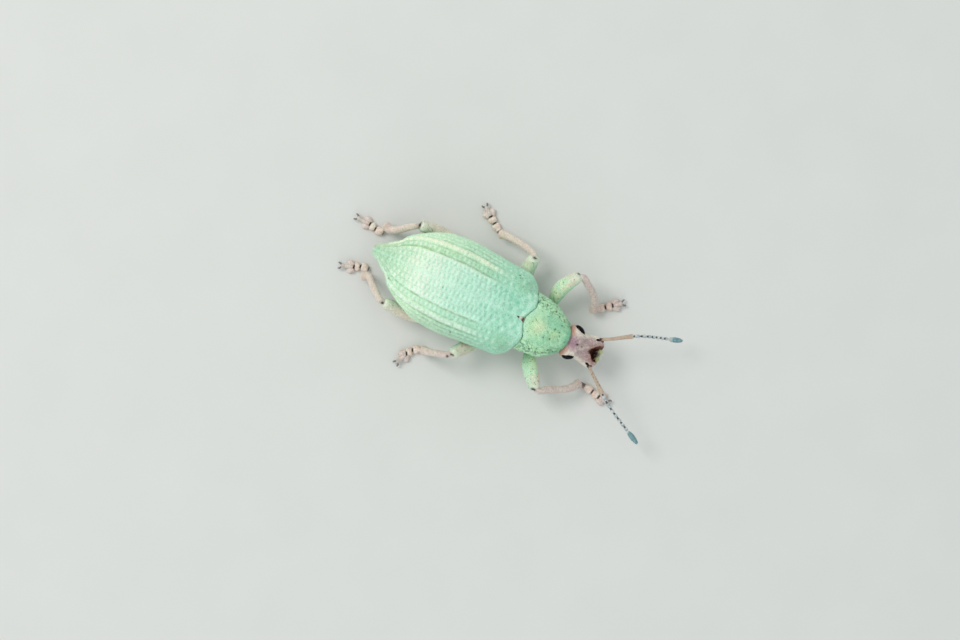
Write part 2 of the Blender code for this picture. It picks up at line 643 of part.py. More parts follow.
for leg, paths in LEGS.items():
    tube("femur_" + leg, paths["femur"], FEMUR_RADII, "femur_scales", 14, 8, end_round=0.55)
    femur_end = np.asarray(paths["femur"][-1], float)
    knee = ellipsoid("knee", femur_end, [FEMUR_RADII[-1] + LIMB_GAP] * 3, "tibia_scales", 12, 7)
    shin = paths["tibia"]
    made = tube("tibia_" + leg, shin, TIBIA_RADII, "tibia_scales", 12, 7, start_round=0.4, end_round=0.25)
    apply_boolean(made, [knee], "DIFFERENCE")
    build_tarsus("tarsus_" + leg, paths["tarsus"], np.asarray(paths["tibia"][-1], float))

# Feelers.
for side_name, paths in ANTENNAE.items():
    tube("scape_" + side_name, paths["scape"], SCAPE_RADII, "feeler_scales", 10, 8, end_round=0.4)
    waves = []
    for bead in range(FUNICLE_BEADS):
        waves += [FUNICLE_WAIST, FUNICLE_BEAD, FUNICLE_BEAD]
    waves += [FUNICLE_WAIST]
    tube("funicle_" + side_name, paths["funicle"], waves, "feeler_scales", 10, len(waves), end_round=0.3)
    tube("club_" + side_name, paths["club"], CLUB_RADII, "club_grey", 12, 8, end_round=0.6)

# The middle of the base of the whole animal goes to the origin.
corners = []
for made in bpy.data.objects:
    corners += [vertex.co[:] for vertex in made.data.vertices]
corners = np.array(corners)
centre = 0.5 * (corners.min(axis=0) + corners.max(axis=0))
root = bpy.data.objects.new("body_root", None)
bpy.context.scene.collection.objects.link(root)
root.location = (-centre[0], -centre[1], -corners[:, 2].min())
for made in list(bpy.data.objects):
    if made.type == "MESH":
        made.parent = root
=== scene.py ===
import math

import bpy
import numpy as np
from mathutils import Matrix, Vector


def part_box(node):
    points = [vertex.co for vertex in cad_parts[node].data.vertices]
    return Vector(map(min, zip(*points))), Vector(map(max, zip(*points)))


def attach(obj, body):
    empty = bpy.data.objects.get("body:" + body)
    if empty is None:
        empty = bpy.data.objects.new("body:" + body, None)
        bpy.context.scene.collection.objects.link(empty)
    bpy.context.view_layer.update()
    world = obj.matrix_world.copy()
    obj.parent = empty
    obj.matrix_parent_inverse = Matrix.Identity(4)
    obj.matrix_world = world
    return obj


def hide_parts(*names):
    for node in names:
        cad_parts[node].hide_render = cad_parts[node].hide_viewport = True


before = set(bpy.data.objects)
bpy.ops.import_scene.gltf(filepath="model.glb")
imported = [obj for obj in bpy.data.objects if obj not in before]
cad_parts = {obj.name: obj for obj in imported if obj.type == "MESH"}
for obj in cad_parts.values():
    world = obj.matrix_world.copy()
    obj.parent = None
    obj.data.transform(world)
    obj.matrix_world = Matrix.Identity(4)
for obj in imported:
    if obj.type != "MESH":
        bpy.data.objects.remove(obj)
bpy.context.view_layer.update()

# Body points are (x, s, z) in millimetres: x to the animal's left, s toward the head, z up from the floor.
mm = 0.001
baseS, apexS = 0.24, -7.74  # front edge and tip of the wing covers
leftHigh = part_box("elytron_left")[1]
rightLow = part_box("elytron_right")[0]
middleX = (leftHigh[0] + rightLow[0]) / 2 / mm
middleY = leftHigh[1] / mm + apexS
print("stage: frame loaded")


# numbers along stations, paths and noise
def through(stations, values, wanted):
    # cubic through the values, its slopes the harmonic mean of the rises beside, so it never overshoots
    order = np.argsort(stations)
    t = np.asarray(stations, float)[order]
    v = np.asarray(values, float)[order]
    step = np.diff(t)
    rise = np.diff(v) / step
    slope = np.empty_like(v)
    slope[0], slope[-1] = rise[0], rise[-1]
    before, after = rise[:-1], rise[1:]
    same = before * after > 0
    slope[1:-1] = np.where(same, 2 * before * after / np.where(same, before + after, 1.0), 0.0)
    w = np.clip(np.asarray(wanted, float), t[0], t[-1])
    i = np.clip(np.searchsorted(t, w, side="right") - 1, 0, len(step) - 1)
    f = (w - t[i]) / step[i]
    return (
        v[i] * (1 + 2 * f) * (1 - f) ** 2
        + slope[i] * step[i] * f * (1 - f) ** 2
        + v[i + 1] * f**2 * (3 - 2 * f)
        + slope[i + 1] * step[i] * f**2 * (f - 1)
    )


def lengthTo(points):
    # length of the broken line from its first point to each point
    return np.concatenate([[0], np.cumsum(np.linalg.norm(np.diff(points, axis=0), axis=1))])


def alongPath(points, share):
    # point at each share of the length of a smooth path through the given points
    points = np.asarray(points, float)
    knots = lengthTo(points)
    return np.column_stack([through(knots, points[:, axis], share * knots[-1]) for axis in range(3)])


def unit(vectors):
    # each vector over its own length
    return vectors / np.maximum(np.linalg.norm(vectors, axis=-1, keepdims=True), 1e-9)


def signedPower(value, power):
    # the size to the power, with the value's own sign
    return np.sign(value) * np.abs(value) ** power


def smooth(value, low, high):
    # 0 below low, 1 above high, an s-curve between
    f = np.clip((value - low) / (high - low), 0, 1)
    return f * f * (3 - 2 * f)


def cloud(x, y, size, seed):
    # value noise: random heights on a lattice of the given size, blended by s-curves, from -1 to 1
    heights = np.random.default_rng(seed).uniform(-1, 1, (256, 256))
    a, b = np.asarray(x) / size + 100.0, np.asarray(y) / size + 100.0
    i, j = np.floor(a).astype(int), np.floor(b).astype(int)
    f, g = a - i, b - j
    f, g = f * f * (3 - 2 * f), g * g * (3 - 2 * g)
    i0, i1, j0, j1 = i % 256, (i + 1) % 256, j % 256, (j + 1) % 256
    low = heights[i0, j0] * (1 - f) + heights[i1, j0] * f
    high = heights[i0, j1] * (1 - f) + heights[i1, j1] * f
    return low * (1 - g) + high * g


def dab(x, y, centreX, centreY, reachX, reachY):
    # soft round patch, 1 at its centre
    return np.exp(-(((x - centreX) / reachX) ** 2) - ((y - centreY) / reachY) ** 2)


def bell(value, reach):
    # 1 where the value is 0, falling to 0.37 at the reach
    return np.exp(-((value / reach) ** 2))


def circle(count):
    # angles once round in equal steps, the full turn left out
    return np.linspace(0, 2 * math.pi, count, endpoint=False)


def linear(red, green, blue):
    # screen colour from 0 to 255 as scene-linear
    c = np.array([red, green, blue], float) / 255
    return np.where(c < 0.04045, c / 12.92, ((c + 0.055) / 1.055) ** 2.4)


def mixed(base, colour, mask):
    # base where the mask is 0, colour where it is 1, a straight line between
    mask = np.clip(mask, 0, 1)[..., None]
    return base * (1 - mask) + np.asarray(colour) * mask


def plain(count, red, green, blue):
    # one colour for every point
    return np.tile(linear(red, green, blue), (count, 1))


def layered(colour, *layers):
    # lays each screen colour over the one before with its own mask
    for screen, mask in layers:
        colour = mixed(colour, linear(*screen), mask)
    return colour


# meshes
def inWorld(points):
    return np.column_stack([points[:, 0] + middleX, middleY - points[:, 1], points[:, 2]]) * mm


def outward(points, faces):
    # turns the faces round if the volume that they enclose comes out negative
    place = inWorld(points) / mm
    place = place - place.mean(axis=0)
    volume = 0.0
    for group in faces:
        for k in range(1, group.shape[1] - 1):
            a, b, c = place[group[:, 0]], place[group[:, k]], place[group[:, k + 1]]
            volume += np.einsum("ij,ij->", a, np.cross(b, c))
    return points, faces if volume > 0 else [group[:, ::-1] for group in faces]


def closedGrid(rings, firstPole=None, lastPole=None):
    # closed surface over rings of equal count, each end closed on a pole
    rows, cols = rings.shape[:2]
    points = rings.reshape(-1, 3)
    i, j = np.meshgrid(np.arange(rows - 1), np.arange(cols), indexing="ij")
    k = (j + 1) % cols
    quads = np.stack([i * cols + j, i * cols + k, (i + 1) * cols + k, (i + 1) * cols + j], -1).reshape(-1, 4)
    count = len(points)
    first = rings[0].mean(axis=0) if firstPole is None else np.asarray(firstPole, float)
    last = rings[-1].mean(axis=0) if lastPole is None else np.asarray(lastPole, float)
    points = np.concatenate([points, [first, last]])
    j = np.arange(cols)
    k = (j + 1) % cols
    start = np.stack([np.full(cols, count), k, j], -1)
    end = np.stack([np.full(cols, count + 1), (rows - 1) * cols + j, (rows - 1) * cols + k], -1)
    return outward(points, [quads, np.concatenate([start, end])])


def joined(parts):
    # several parts as one: each part's faces are counted on from the points before it
    points, faces, offset = [], [], 0
    for partPoints, partFaces in parts:
        points.append(partPoints)
        faces += [group + offset for group in partFaces]
        offset += len(partPoints)
    return np.concatenate(points), faces


def makePiece(name, part, material, paint, replaced=(), rootUv=None, sharp=False):
    # one mesh of the part's points, with the colour of paint on each point as the attribute tint
    points, faces = part
    order = {}
    for group in faces:
        order.setdefault(group.shape[1], []).append(group)
    faces = [np.concatenate(groups) for groups in order.values()]
    corners = np.concatenate([group.ravel() for group in faces])
    totals = np.concatenate([np.full(len(group), group.shape[1]) for group in faces])
    starts = np.concatenate([[0], np.cumsum(totals)[:-1]])
    mesh = bpy.data.meshes.new(name)
    mesh.vertices.add(len(points))
    mesh.vertices.foreach_set("co", inWorld(points).ravel())
    mesh.loops.add(len(corners))
    mesh.loops.foreach_set("vertex_index", corners.astype(np.int32))
    mesh.polygons.add(len(totals))
    mesh.polygons.foreach_set("loop_start", starts.astype(np.int32))
    mesh.update(calc_edges=True)
    colour = paint(points) if callable(paint) else paint
    colour = np.broadcast_to(colour, (len(points), 3))
    tint = mesh.attributes.new("tint", "FLOAT_COLOR", "POINT")
    tint.data.foreach_set("color", np.column_stack([np.clip(colour, 0, 1), np.ones(len(points))]).ravel())
    if rootUv is not None:
        layer = mesh.uv_layers.new(name="OFBake")
        layer.data.foreach_set("uv", rootUv[corners].ravel())
    mesh.validate()
    if sharp:
        mesh.shade_flat()
    else:
        mesh.shade_smooth()
    mesh.materials.append(material)
    piece = bpy.data.objects.new(name, mesh)
    bpy.context.scene.collection.objects.link(piece)
    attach(piece, "root")
    if replaced:
        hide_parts(*replaced)


def gridNormals(grid):
    # cross product of the steps across and down the grid
    across = np.gradient(grid, axis=1)
    down = np.gradient(grid, axis=0)
    return unit(np.cross(across, down))


def pushed(grid, amount, outside):
    # moves each point of the grid along the surface's own normal; outside is a point that the normals face
    normals = gridNormals(grid)
    away = grid - np.asarray(outside)
    if np.einsum("ijk,ijk->", normals, away) < 0:
        normals = -normals
    return grid + normals * amount[..., None]


def swing(points, degrees):
    # turned about the upright axis; a positive angle moves the head end to the animal's right
    c, d = math.cos(math.radians(degrees)), math.sin(math.radians(degrees))
    return points @ np.array(((c, d, 0), (-d, c, 0), (0, 0, 1.0)))


def carved(points, centre, radii, way, degrees=0.0):
    # a point inside the ellipsoid goes along the given way to its wall: |q + t d| = 1 in the ellipsoid's own units
    q = swing(points - np.asarray(centre), -degrees) / np.asarray(radii)
    d = swing(np.asarray(way, float), -degrees) / np.asarray(radii)
    a, b, c = (d * d).sum(-1), (q * d).sum(-1), (q * q).sum(-1) - 1
    t = (-b + np.sqrt(np.maximum(b * b - a * c, 0))) / a
    return points + np.where(c < 0, t, 0.0)[..., None] * np.asarray(way, float)


def limbRings(points, radii, rows, around, wide=1.0, endRound=0.9, startRound=0.5):
    # rings along a path: radius from its stations, ends rounded by a quarter ellipse; the path comes too
    share = np.linspace(0, 1, rows)
    path = alongPath(points, share)
    length = np.linalg.norm(np.diff(path, axis=0), axis=1).sum()
    radius = through(np.linspace(0, 1, len(radii)), radii, share)
    fromEnd = np.clip((1 - share) * length / (radius[-1] * endRound), 0, 1)
    fromStart = np.clip(share * length / (radius[0] * startRound), 0, 1)
    cap = np.sqrt(np.maximum(1 - (1 - fromEnd) ** 2, 0)) * np.sqrt(np.maximum(1 - (1 - fromStart) ** 2, 0))
    radius = radius * np.maximum(cap, 0.03)
    tangent = unit(np.gradient(path, axis=0))
    side = unit(np.cross(tangent, (0, 0, 1.0)))
    up = np.cross(side, tangent)
    turn = circle(around)
    rings = (
        path[:, None]
        + (np.cos(turn) * wide)[None, :, None] * side[:, None] * radius[:, None, None]
        + np.sin(turn)[None, :, None] * up[:, None] * radius[:, None, None]
    )
    return rings, path


# coat of scales and hairs
scaleAlong = np.array((-0.50, -0.20, 0.26, 0.54, 0.26, -0.20, 0.04))
scaleAcross = np.array((0.0, 0.42, 0.40, 0.0, -0.40, -0.42, 0.0))
scaleRise = np.array((-0.10, -0.02, 0.07, 0.14, 0.07, -0.02, 0.26))
scaleCrown = np.array([(6, k, (k + 1) % 6) for k in range(6)])
scaleUnder = np.array([(5, 4, 3, 2, 1, 0)])
tuftPatch = 0.003


def rowsOver(grid, spacing, seed, wrap, jitter=0.16):
    # places set in rows like slates: rows one step apart down the grid, each next row moved by half a step
    rng = np.random.default_rng(seed)
    if wrap:
        grid = np.concatenate([grid, grid[:, :1]], axis=1)
    down = np.maximum(np.linalg.norm(np.diff(grid, axis=0), axis=2).max(axis=1), 1e-6)
    reach = np.concatenate([[0], np.cumsum(down)])
    rowCount = max(int(reach[-1] / (spacing * 0.87)), 2)
    rowAt = np.interp((np.arange(rowCount) + 0.5) / rowCount * reach[-1], reach, np.arange(len(reach)))
    rowsI, rowsJ = [], []
    for index, row in enumerate(rowAt):
        low = min(int(row), len(grid) - 2)
        line = grid[low] * (1 - row + low) + grid[low + 1] * (row - low)
        length = lengthTo(line)
        count = int(length[-1] / spacing)
        if count < 1:
            continue
        place = (np.arange(count) + 0.25 + 0.5 * (index % 2)) / count
        place = place + rng.uniform(-jitter, jitter, count) / count
        place = np.mod(place, 1) if wrap else np.clip(place, 0.001, 0.999)
        rowsJ.append(np.interp(place * length[-1], length, np.arange(len(length))))
        rowsI.append(row + rng.uniform(-jitter, jitter, count) * spacing / down[low])
    i = np.clip(np.concatenate(rowsI), 0, len(grid) - 1.001)
    j = np.clip(np.concatenate(rowsJ), 0, grid.shape[1] - 1.001)
    normals = gridNormals(grid)
    lie = unit(np.gradient(grid, axis=0))
    centres = np.broadcast_to(grid.mean(axis=1, keepdims=True), grid.shape)

    def at(values):
        # straight-line blend of the four grid points round each place
        a, b = i.astype(int), j.astype(int)
        f, g = (i - a)[:, None], (j - b)[:, None]
        low = values[a, b] * (1 - g) + values[a, b + 1] * g
        high = values[a + 1, b] * (1 - g) + values[a + 1, b + 1] * g
        return low * (1 - f) + high * f

    root, normal = at(grid), unit(at(normals))
    inward = np.einsum("ij,ij->i", normal, root - at(centres)) < 0
    normal = np.where(inward[:, None], -normal, normal)
    return root, normal, unit(at(lie)), np.column_stack([j / grid.shape[1], i / len(grid)])


def kept(places, mask):
    # the places where the mask is true
    return tuple(values[mask] for values in places)


def tuftUv(rootUv, tile, patch):
    # the root's place on the unwrap, in the tile (left, low, side) of its own grid, with a small patch about it
    return (((rootUv * 0.98 + 0.01) * tile[2] + np.array(tile[:2]))[:, None] + patch[None]).reshape(-1, 2)


def scalesOn(places, size, seed, wide=0.9, tile=(0, 0, 1)):
    # each scale is a thin oval plate with a domed crown, its root sunk and its tip raised, lying toward the rear
    root, normal, lie, rootUv = places
    rng = np.random.default_rng(seed)
    lie = unit(lie - normal * np.einsum("ij,ij->i", lie, normal)[:, None])
    side = np.cross(normal, lie)
    twist = rng.normal(0, 0.22, len(root))[:, None]
    lie, side = unit(lie + side * twist), unit(side - lie * twist)
    big = (size * rng.uniform(0.86, 1.14, len(root)))[:, None, None]
    steep = rng.uniform(0.7, 1.5, len(root))[:, None, None]
    points = root[:, None] + big * (
        scaleAlong[None, :, None] * lie[:, None]
        + scaleAcross[None, :, None] * wide * side[:, None]
        + scaleRise[None, :, None] * steep * normal[:, None]
    )
    start = (np.arange(len(root)) * 7)[:, None]
    crown = (scaleCrown[None] + start[:, :, None]).reshape(-1, 3)
    under = (scaleUnder[None] + start[:, :, None]).reshape(-1, 6)
    uv = tuftUv(rootUv, tile, np.column_stack([scaleAcross, scaleAlong]) * tuftPatch)
    return outward(points.reshape(-1, 3), [crown, under]) + (uv,)


def hairsOn(places, length, thick, lean, seed, stray=0.2, tile=(0, 0, 1)):
    # each hair is a bent three-sided cone, leaning from the lie toward the normal by the given angle
    root, normal, lie, rootUv = places
    rng = np.random.default_rng(seed)
    count = len(root)
    way = unit(lie * math.cos(lean) + normal * math.sin(lean) + rng.normal(0, stray, (count, 3)))
    side = unit(np.cross(way, (0.31, 0.17, 0.93)))
    up = np.cross(way, side)
    turn = np.arange(3) * 2 * math.pi / 3
    ring = np.cos(turn)[None, :, None] * side[:, None] + np.sin(turn)[None, :, None] * up[:, None]
    long = (length * rng.uniform(0.7, 1.2, count))[:, None, None]
    low = root[:, None] + ring * thick
    mid = root[:, None] + way[:, None] * long * 0.55 + lie[:, None] * long * 0.05 + ring * thick * 0.7
    tip = root[:, None] + way[:, None] * long * 0.92 + lie[:, None] * long * 0.2
    points = np.concatenate([low, mid, tip], axis=1)
    start = (np.arange(count) * 7)[:, None, None]
    quads = np.array([(k, (k + 1) % 3, 3 + (k + 1) % 3, 3 + k) for k in range(3)])
    tips = np.array([(3 + k, 3 + (k + 1) % 3, 6) for k in range(3)] + [(2, 1, 0)])
    spread = np.column_stack([np.cos(turn), np.sin(turn)]) * tuftPatch / 2
    spread = np.concatenate([spread, spread * 0.6, [(0, 0)]])
    uv = tuftUv(rootUv, tile, spread)
    faces = [(quads[None] + start).reshape(-1, 4), (tips[None] + start).reshape(-1, 3)]
    return outward(points.reshape(-1, 3), faces) + (uv,)


def coatPiece(name, parts, material, paint, seed, spread=0.05):
    # joins tufts of seven points each; every tuft takes the colour of its root, a little lighter or darker by chance
    points, faces = joined([(part[0], part[1]) for part in parts])
    uv = np.concatenate([part[2] for part in parts])
    points[:, 2] = np.maximum(points[:, 2], 0.003)
    centres = points.reshape(-1, 7, 3).mean(axis=1)
    tone = 1 + spread * np.random.default_rng(seed).normal(0, 1, len(centres))
    colour = paint(centres) if callable(paint) else np.broadcast_to(paint, centres.shape)
    colour = np.repeat(np.clip(colour, 0, 1) * tone[:, None], 7, axis=0)
    makePiece(name, (points, faces), materials[material], colour, rootUv=uv, sharp=material == "mintScale")
    print("coat", name, sum(len(group) * (group.shape[1] - 2) for group in faces))


# node groups and materials
def newGroup(name, inputs, outputs):
    group = bpy.data.node_groups.new(name, "ShaderNodeTree")
    for label, kind, value in inputs:
        socket = group.interface.new_socket(name=label, in_out="INPUT", socket_type=kind)
        socket.default_value = value
    for label, kind in outputs:
        group.interface.new_socket(name=label, in_out="OUTPUT", socket_type=kind)
    return group, group.nodes.new("NodeGroupInput"), group.nodes.new("NodeGroupOutput")


def mathNode(nodes, links, kind, first, second):
    # a Math node on two values, each a number or a socket
    node = nodes.new("ShaderNodeMath")
    node.operation = kind
    for slotIndex, value in enumerate((first, second)):
        if isinstance(value, (int, float)):
            node.inputs[slotIndex].default_value = value
        else:
            links.new(value, node.inputs[slotIndex])
    return node.outputs[0]


def scaledTexture(nodes, links, kind, vector, scale):
    # a texture node on the vector, its scale a number or a socket
    node = nodes.new(kind)
    links.new(vector, node.inputs["Vector"])
    if isinstance(scale, (int, float)):
        node.inputs["Scale"].default_value = scale
    else:
        links.new(scale, node.inputs["Scale"])
    return node


def makeScaleGrain():
    # tint varied by a fine cell pattern and a broader cloud; height is the domed cell
    group, start, end = newGroup(
        "scaleGrain",
        [
            ("Tint", "NodeSocketColor", (1, 1, 1, 1)),
            ("Cells", "NodeSocketFloat", 22000.0),
            ("Vary", "NodeSocketFloat", 0.2),
            ("Clouds", "NodeSocketFloat", 2500.0),
        ],
        [("Color", "NodeSocketColor"), ("Height", "NodeSocketFloat"), ("Rough", "NodeSocketFloat")],
    )
    nodes, links = group.nodes, group.links
    place = nodes.new("ShaderNodeTexCoord").outputs["Object"]
    cells = scaledTexture(nodes, links, "ShaderNodeTexVoronoi", place, start.outputs["Cells"])
    clouds = scaledTexture(nodes, links, "ShaderNodeTexNoise", place, start.outputs["Clouds"])
    clouds.inputs["Detail"].default_value = 3
    tone = nodes.new("ShaderNodeSeparateColor")
    links.new(cells.outputs["Color"], tone.inputs[0])
    spread = mathNode(nodes, links, "SUBTRACT", tone.outputs[0], 0.5)
    drift = mathNode(nodes, links, "SUBTRACT", clouds.outputs[0], 0.5)
    change = mathNode(nodes, links, "ADD", spread, drift)
    change = mathNode(nodes, links, "MULTIPLY", change, start.outputs["Vary"])
    factor = mathNode(nodes, links, "ADD", change, 1.0)
    grow = nodes.new("ShaderNodeVectorMath")
    grow.operation = "SCALE"
    links.new(start.outputs["Tint"], grow.inputs[0])
    links.new(factor, grow.inputs["Scale"])
    links.new(grow.outputs[0], end.inputs["Color"])
    height = mathNode(nodes, links, "SUBTRACT", 1.0, cells.outputs["Distance"])
    links.new(height, end.inputs["Height"])
    rough = mathNode(nodes, links, "MULTIPLY", spread, 0.25)
    links.new(rough, end.inputs["Rough"])
    return group


scaleGrain = makeScaleGrain()


def makeMaterial(name, rough, cells=22000.0, vary=0.2, clouds=2500.0, bump=0.25, coat=0.0, sheen=0.0, specular=0.5):
    # the piece's tint, broken up by the scale grain group, on one Principled BSDF
    material = bpy.data.materials.new(name)
    material.use_nodes = True
    nodes, links = material.node_tree.nodes, material.node_tree.links
    shader = nodes["Principled BSDF"]
    tint = nodes.new("ShaderNodeAttribute")
    tint.attribute_name = "tint"
    grain = nodes.new("ShaderNodeGroup")
    grain.node_tree = scaleGrain
    grain.inputs["Cells"].default_value = cells
    grain.inputs["Vary"].default_value = vary
    grain.inputs["Clouds"].default_value = clouds
    links.new(tint.outputs["Color"], grain.inputs["Tint"])
    links.new(grain.outputs["Color"], shader.inputs["Base Color"])
    links.new(mathNode(nodes, links, "ADD", grain.outputs["Rough"], rough), shader.inputs["Roughness"])
    dent = nodes.new("ShaderNodeBump")
    dent.inputs["Strength"].default_value = bump
    dent.inputs["Distance"].default_value = 0.4 / cells
    links.new(grain.outputs["Height"], dent.inputs["Height"])
    links.new(dent.outputs["Normal"], shader.inputs["Normal"])
    shader.inputs["Coat Weight"].default_value = coat
    shader.inputs["Coat Roughness"].default_value = 0.3
    shader.inputs["Sheen Weight"].default_value = sheen
    shader.inputs["Specular IOR Level"].default_value = specular
    return material


finishes = {
    "mintSkin": dict(rough=0.42, vary=0.22, clouds=3500.0, bump=0.35, coat=0.15),
    "mintScale": dict(rough=0.36, vary=0.14, clouds=3000.0, bump=0.1, coat=0.2, sheen=0.15),
    "pronotumSkin": dict(rough=0.45, vary=0.3, clouds=4000.0, bump=0.45, coat=0.1),
    "headSkin": dict(rough=0.42, vary=0.25, clouds=4500.0, bump=0.3, coat=0.1),
    "eyeGloss": dict(rough=0.12, cells=30000.0, vary=0.1, clouds=9000.0, bump=0.1, coat=0.0, specular=0.14),
    "jawShell": dict(rough=0.3, cells=15000.0, vary=0.4, clouds=6000.0, bump=0.3, coat=0.3),
    "bellySkin": dict(rough=0.48, vary=0.25, clouds=3500.0, bump=0.35),
    "legSkin": dict(rough=0.45, vary=0.3, clouds=5000.0, bump=0.35, coat=0.1),
    "tarsusSkin": dict(rough=0.5, vary=0.35, clouds=6000.0, bump=0.4),
    "feelerSkin": dict(rough=0.5, vary=0.35, clouds=7000.0, bump=0.35),
    "clubVelvet": dict(rough=0.6, vary=0.3, clouds=9000.0, bump=0.3, sheen=0.4),
    "paleHair": dict(rough=0.4, vary=0.2, clouds=9000.0, bump=0.0),
}
materials = {name: makeMaterial(name, **values) for name, values in finishes.items()}
print("stage: finishes made")

# wing covers
elytra = {
    "s": (0.24, 0, -0.38, -1.14, -2.1, -3.33, -4.38, -5.38, -5.85, -6.4, -6.64, -6.92, -7.2, -7.46, -7.66, -7.74),
    "half": (1.62, 1.89, 2.11, 2.16, 2.23, 2.33, 2.26, 1.90, 1.64, 1.28, 0.97, 0.76, 0.56, 0.38, 0.24, 0.08),
    "topS": (0.24, -1, -2.5, -3.5, -4.5, -5.5, -6.3, -6.9, -7.3, -7.66, -7.74),
    "top": (3.62, 4.05, 4.35, 4.42, 4.30, 3.95, 3.40, 2.80, 2.35, 1.85, 1.68),
    "marginS": (0.24, -2, -5, -6.5, -7.66),
    "margin": (2.15, 2.0, 2.0, 1.8, 1.55),
    "rimDrop": 0.42,
    "rimDegrees": 108.0,
    "power": 0.88,
    "slit": 0.0006,
    "thick": 0.30,
    "baseRound": 0.10,
    "baseDrop": 0.10,
    "lobe": 0.27,
    "lobeSpan": 1.72,
    # rows of pits: degrees round from the suture, depth, half width
    "pitRows": (
        (5.2, 0.026, 0.115), (13.2, 0.032, 0.125), (21.2, 0.032, 0.115), (32.8, 0.014, 0.10), (43.8, 0.008, 0.13),
        (54.8, 0.014, 0.06), (63.6, 0.014, 0.07),
    ),
    "pitStep": 0.225,
    "pitLong": 0.058,
    "barLong": 0.062,
    # grooves: degrees, depth, half width
    "grooves": (
        (1.6, 0.006, 0.05), (9.2, 0.010, 0.06), (17.2, 0.012, 0.06), (27.7, 0.038, 0.080), (37.8, 0.026, 0.055),
        (50.9, 0.060, 0.075), (59.0, 0.05, 0.06), (68.5, 0.06, 0.075),
        (78.5, 0.05, 0.07), (88.5, 0.05, 0.08), (98.0, 0.04, 0.07),
    ),
    # ridges between them: degrees, height, half width
    "ridges": (
        (24.2, 0.020, 0.09), (43.8, 0.050, 0.16), (55.0, 0.02, 0.07), (63.8, 0.03, 0.09), (73.5, 0.03, 0.09),
        (83.5, 0.03, 0.09), (93.2, 0.025, 0.08),
    ),
    # dark freckles: s, x, radius
    "specks": (
        (-2.65, -2.05, 0.034), (-0.79, 1.80, 0.032), (-0.72, 1.70, 0.024), (-0.62, 1.74, 0.02), (-6.40, -0.98, 0.032),
        (-6.30, -1.02, 0.02), (-5.13, 0.62, 0.022), (-6.22, 0.157, 0.018), (-3.85, -0.28, 0.02),
    ),
    # teal clouds near the shoulders: s, x, reach along, reach across, strength
    "teal": (
        (-0.45, 0.52, 0.30, 0.26, 0.8), (-0.62, -0.31, 0.34, 0.20, 0.6), (-1.12, -0.33, 0.22, 0.15, 0.5),
        (-0.32, -0.64, 0.22, 0.2, 0.4), (-1.0, 0.75, 0.5, 0.3, 0.35), (-0.9, -0.9, 0.4, 0.3, 0.3),
    ),
    "rows": 340,
    "across": 180,
}


def sizesAt(table, s, *pairs):
    # each pair names the stations and the values of one size in the table
    return [through(table[stations], table[values], s) for stations, values in pairs]


def lobeAt(x):
    # each wing cover's front edge is a sine-square arch, and the shield's rear edge follows it
    return elytra["lobe"] * np.sin(math.pi * np.minimum(np.abs(x), elytra["lobeSpan"]) / elytra["lobeSpan"]) ** 2


def baseLobe(x, s):
    # the arch fades out one millimetre behind the front edge
    return lobeAt(x) * np.clip((s + 1.0) / (baseS + 1.0), 0, 1) ** 2


def scutellumHalf(s):
    # half width, rising in a straight line from nothing at s -0.20 to its whole at 0.24
    return 0.155 * np.clip((s + 0.20) / 0.44, 0, 1)


def elytronArc(s, degrees, inset):
    # x is suture + width times sin(angle)^0.88, z is level + rise times cos(angle)^0.88, both less the inset
    half, top, level = sizesAt(elytra, s, ("s", "half"), ("topS", "top"), ("marginS", "margin"))
    drop = np.minimum(elytra["rimDrop"], half)
    suture = np.maximum(elytra["slit"], scutellumHalf(s) - 0.004)
    near = np.clip((s - baseS + elytra["baseRound"]) / elytra["baseRound"], 0, 1)
    inset = inset + elytra["baseDrop"] * (1 - np.sqrt(np.clip(1 - near**2, 0, 1)))
    phi = np.radians(degrees)
    up = np.cos(phi)
    wide = np.maximum(half - suture - inset, 0.004)
    rise = np.where(up > 0, np.maximum(top - level - inset, 0.01), drop)
    x = suture + wide * signedPower(np.sin(phi), elytra["power"])
    z = level + rise * signedPower(up, elytra["power"])
    return np.stack([x, s + baseLobe(x, s), z], -1)


def striaDrift(s, degrees):
    # behind the widest place the striae swing outward
    return degrees * (1 + 0.24 * smooth(-s, 4.2, 6.3) * (degrees < 70))


def pitField(s, degrees, perDegree, side):
    # pits stand one step apart in each row, every one a bell, strong and weak by chance; bars are the humps between
    pits, bars, deep = np.zeros_like(s), np.zeros_like(s), np.zeros_like(s)
    for number, (centre, depth, wide) in enumerate(elytra["pitRows"]):
        far = (degrees - striaDrift(s, centre)) * perDegree
        lane = np.full_like(s, number + 9.0 * side)
        beat = (s - 0.10 * np.clip(s + 2.3, 0, 3) ** 2) / elytra["pitStep"]
        beat = beat + 0.37 * number + 0.22 * side + 0.32 * cloud(s, lane, 0.8, 40)
        strong = 0.72 + 0.28 * cloud(np.floor(beat), lane, 1.0, 41)
        along = (np.mod(beat, 1) - 0.5) * elytra["pitStep"]
        pit = strong * dab(along, far, 0, 0, elytra["pitLong"], wide)
        hump = np.floor(beat + 0.5)
        along = (np.mod(beat + 0.5, 1) - 0.5) * elytra["pitStep"]
        bright = 0.6 + 0.4 * cloud(hump, lane, 1.0, 42)
        bar = bright * dab(along, far, 0, 0, elytra["barLong"], wide * 1.35)
        pits, bars, deep = np.maximum(pits, pit), np.maximum(bars, bar), np.maximum(deep, depth * pit)
    return pits, bars, deep


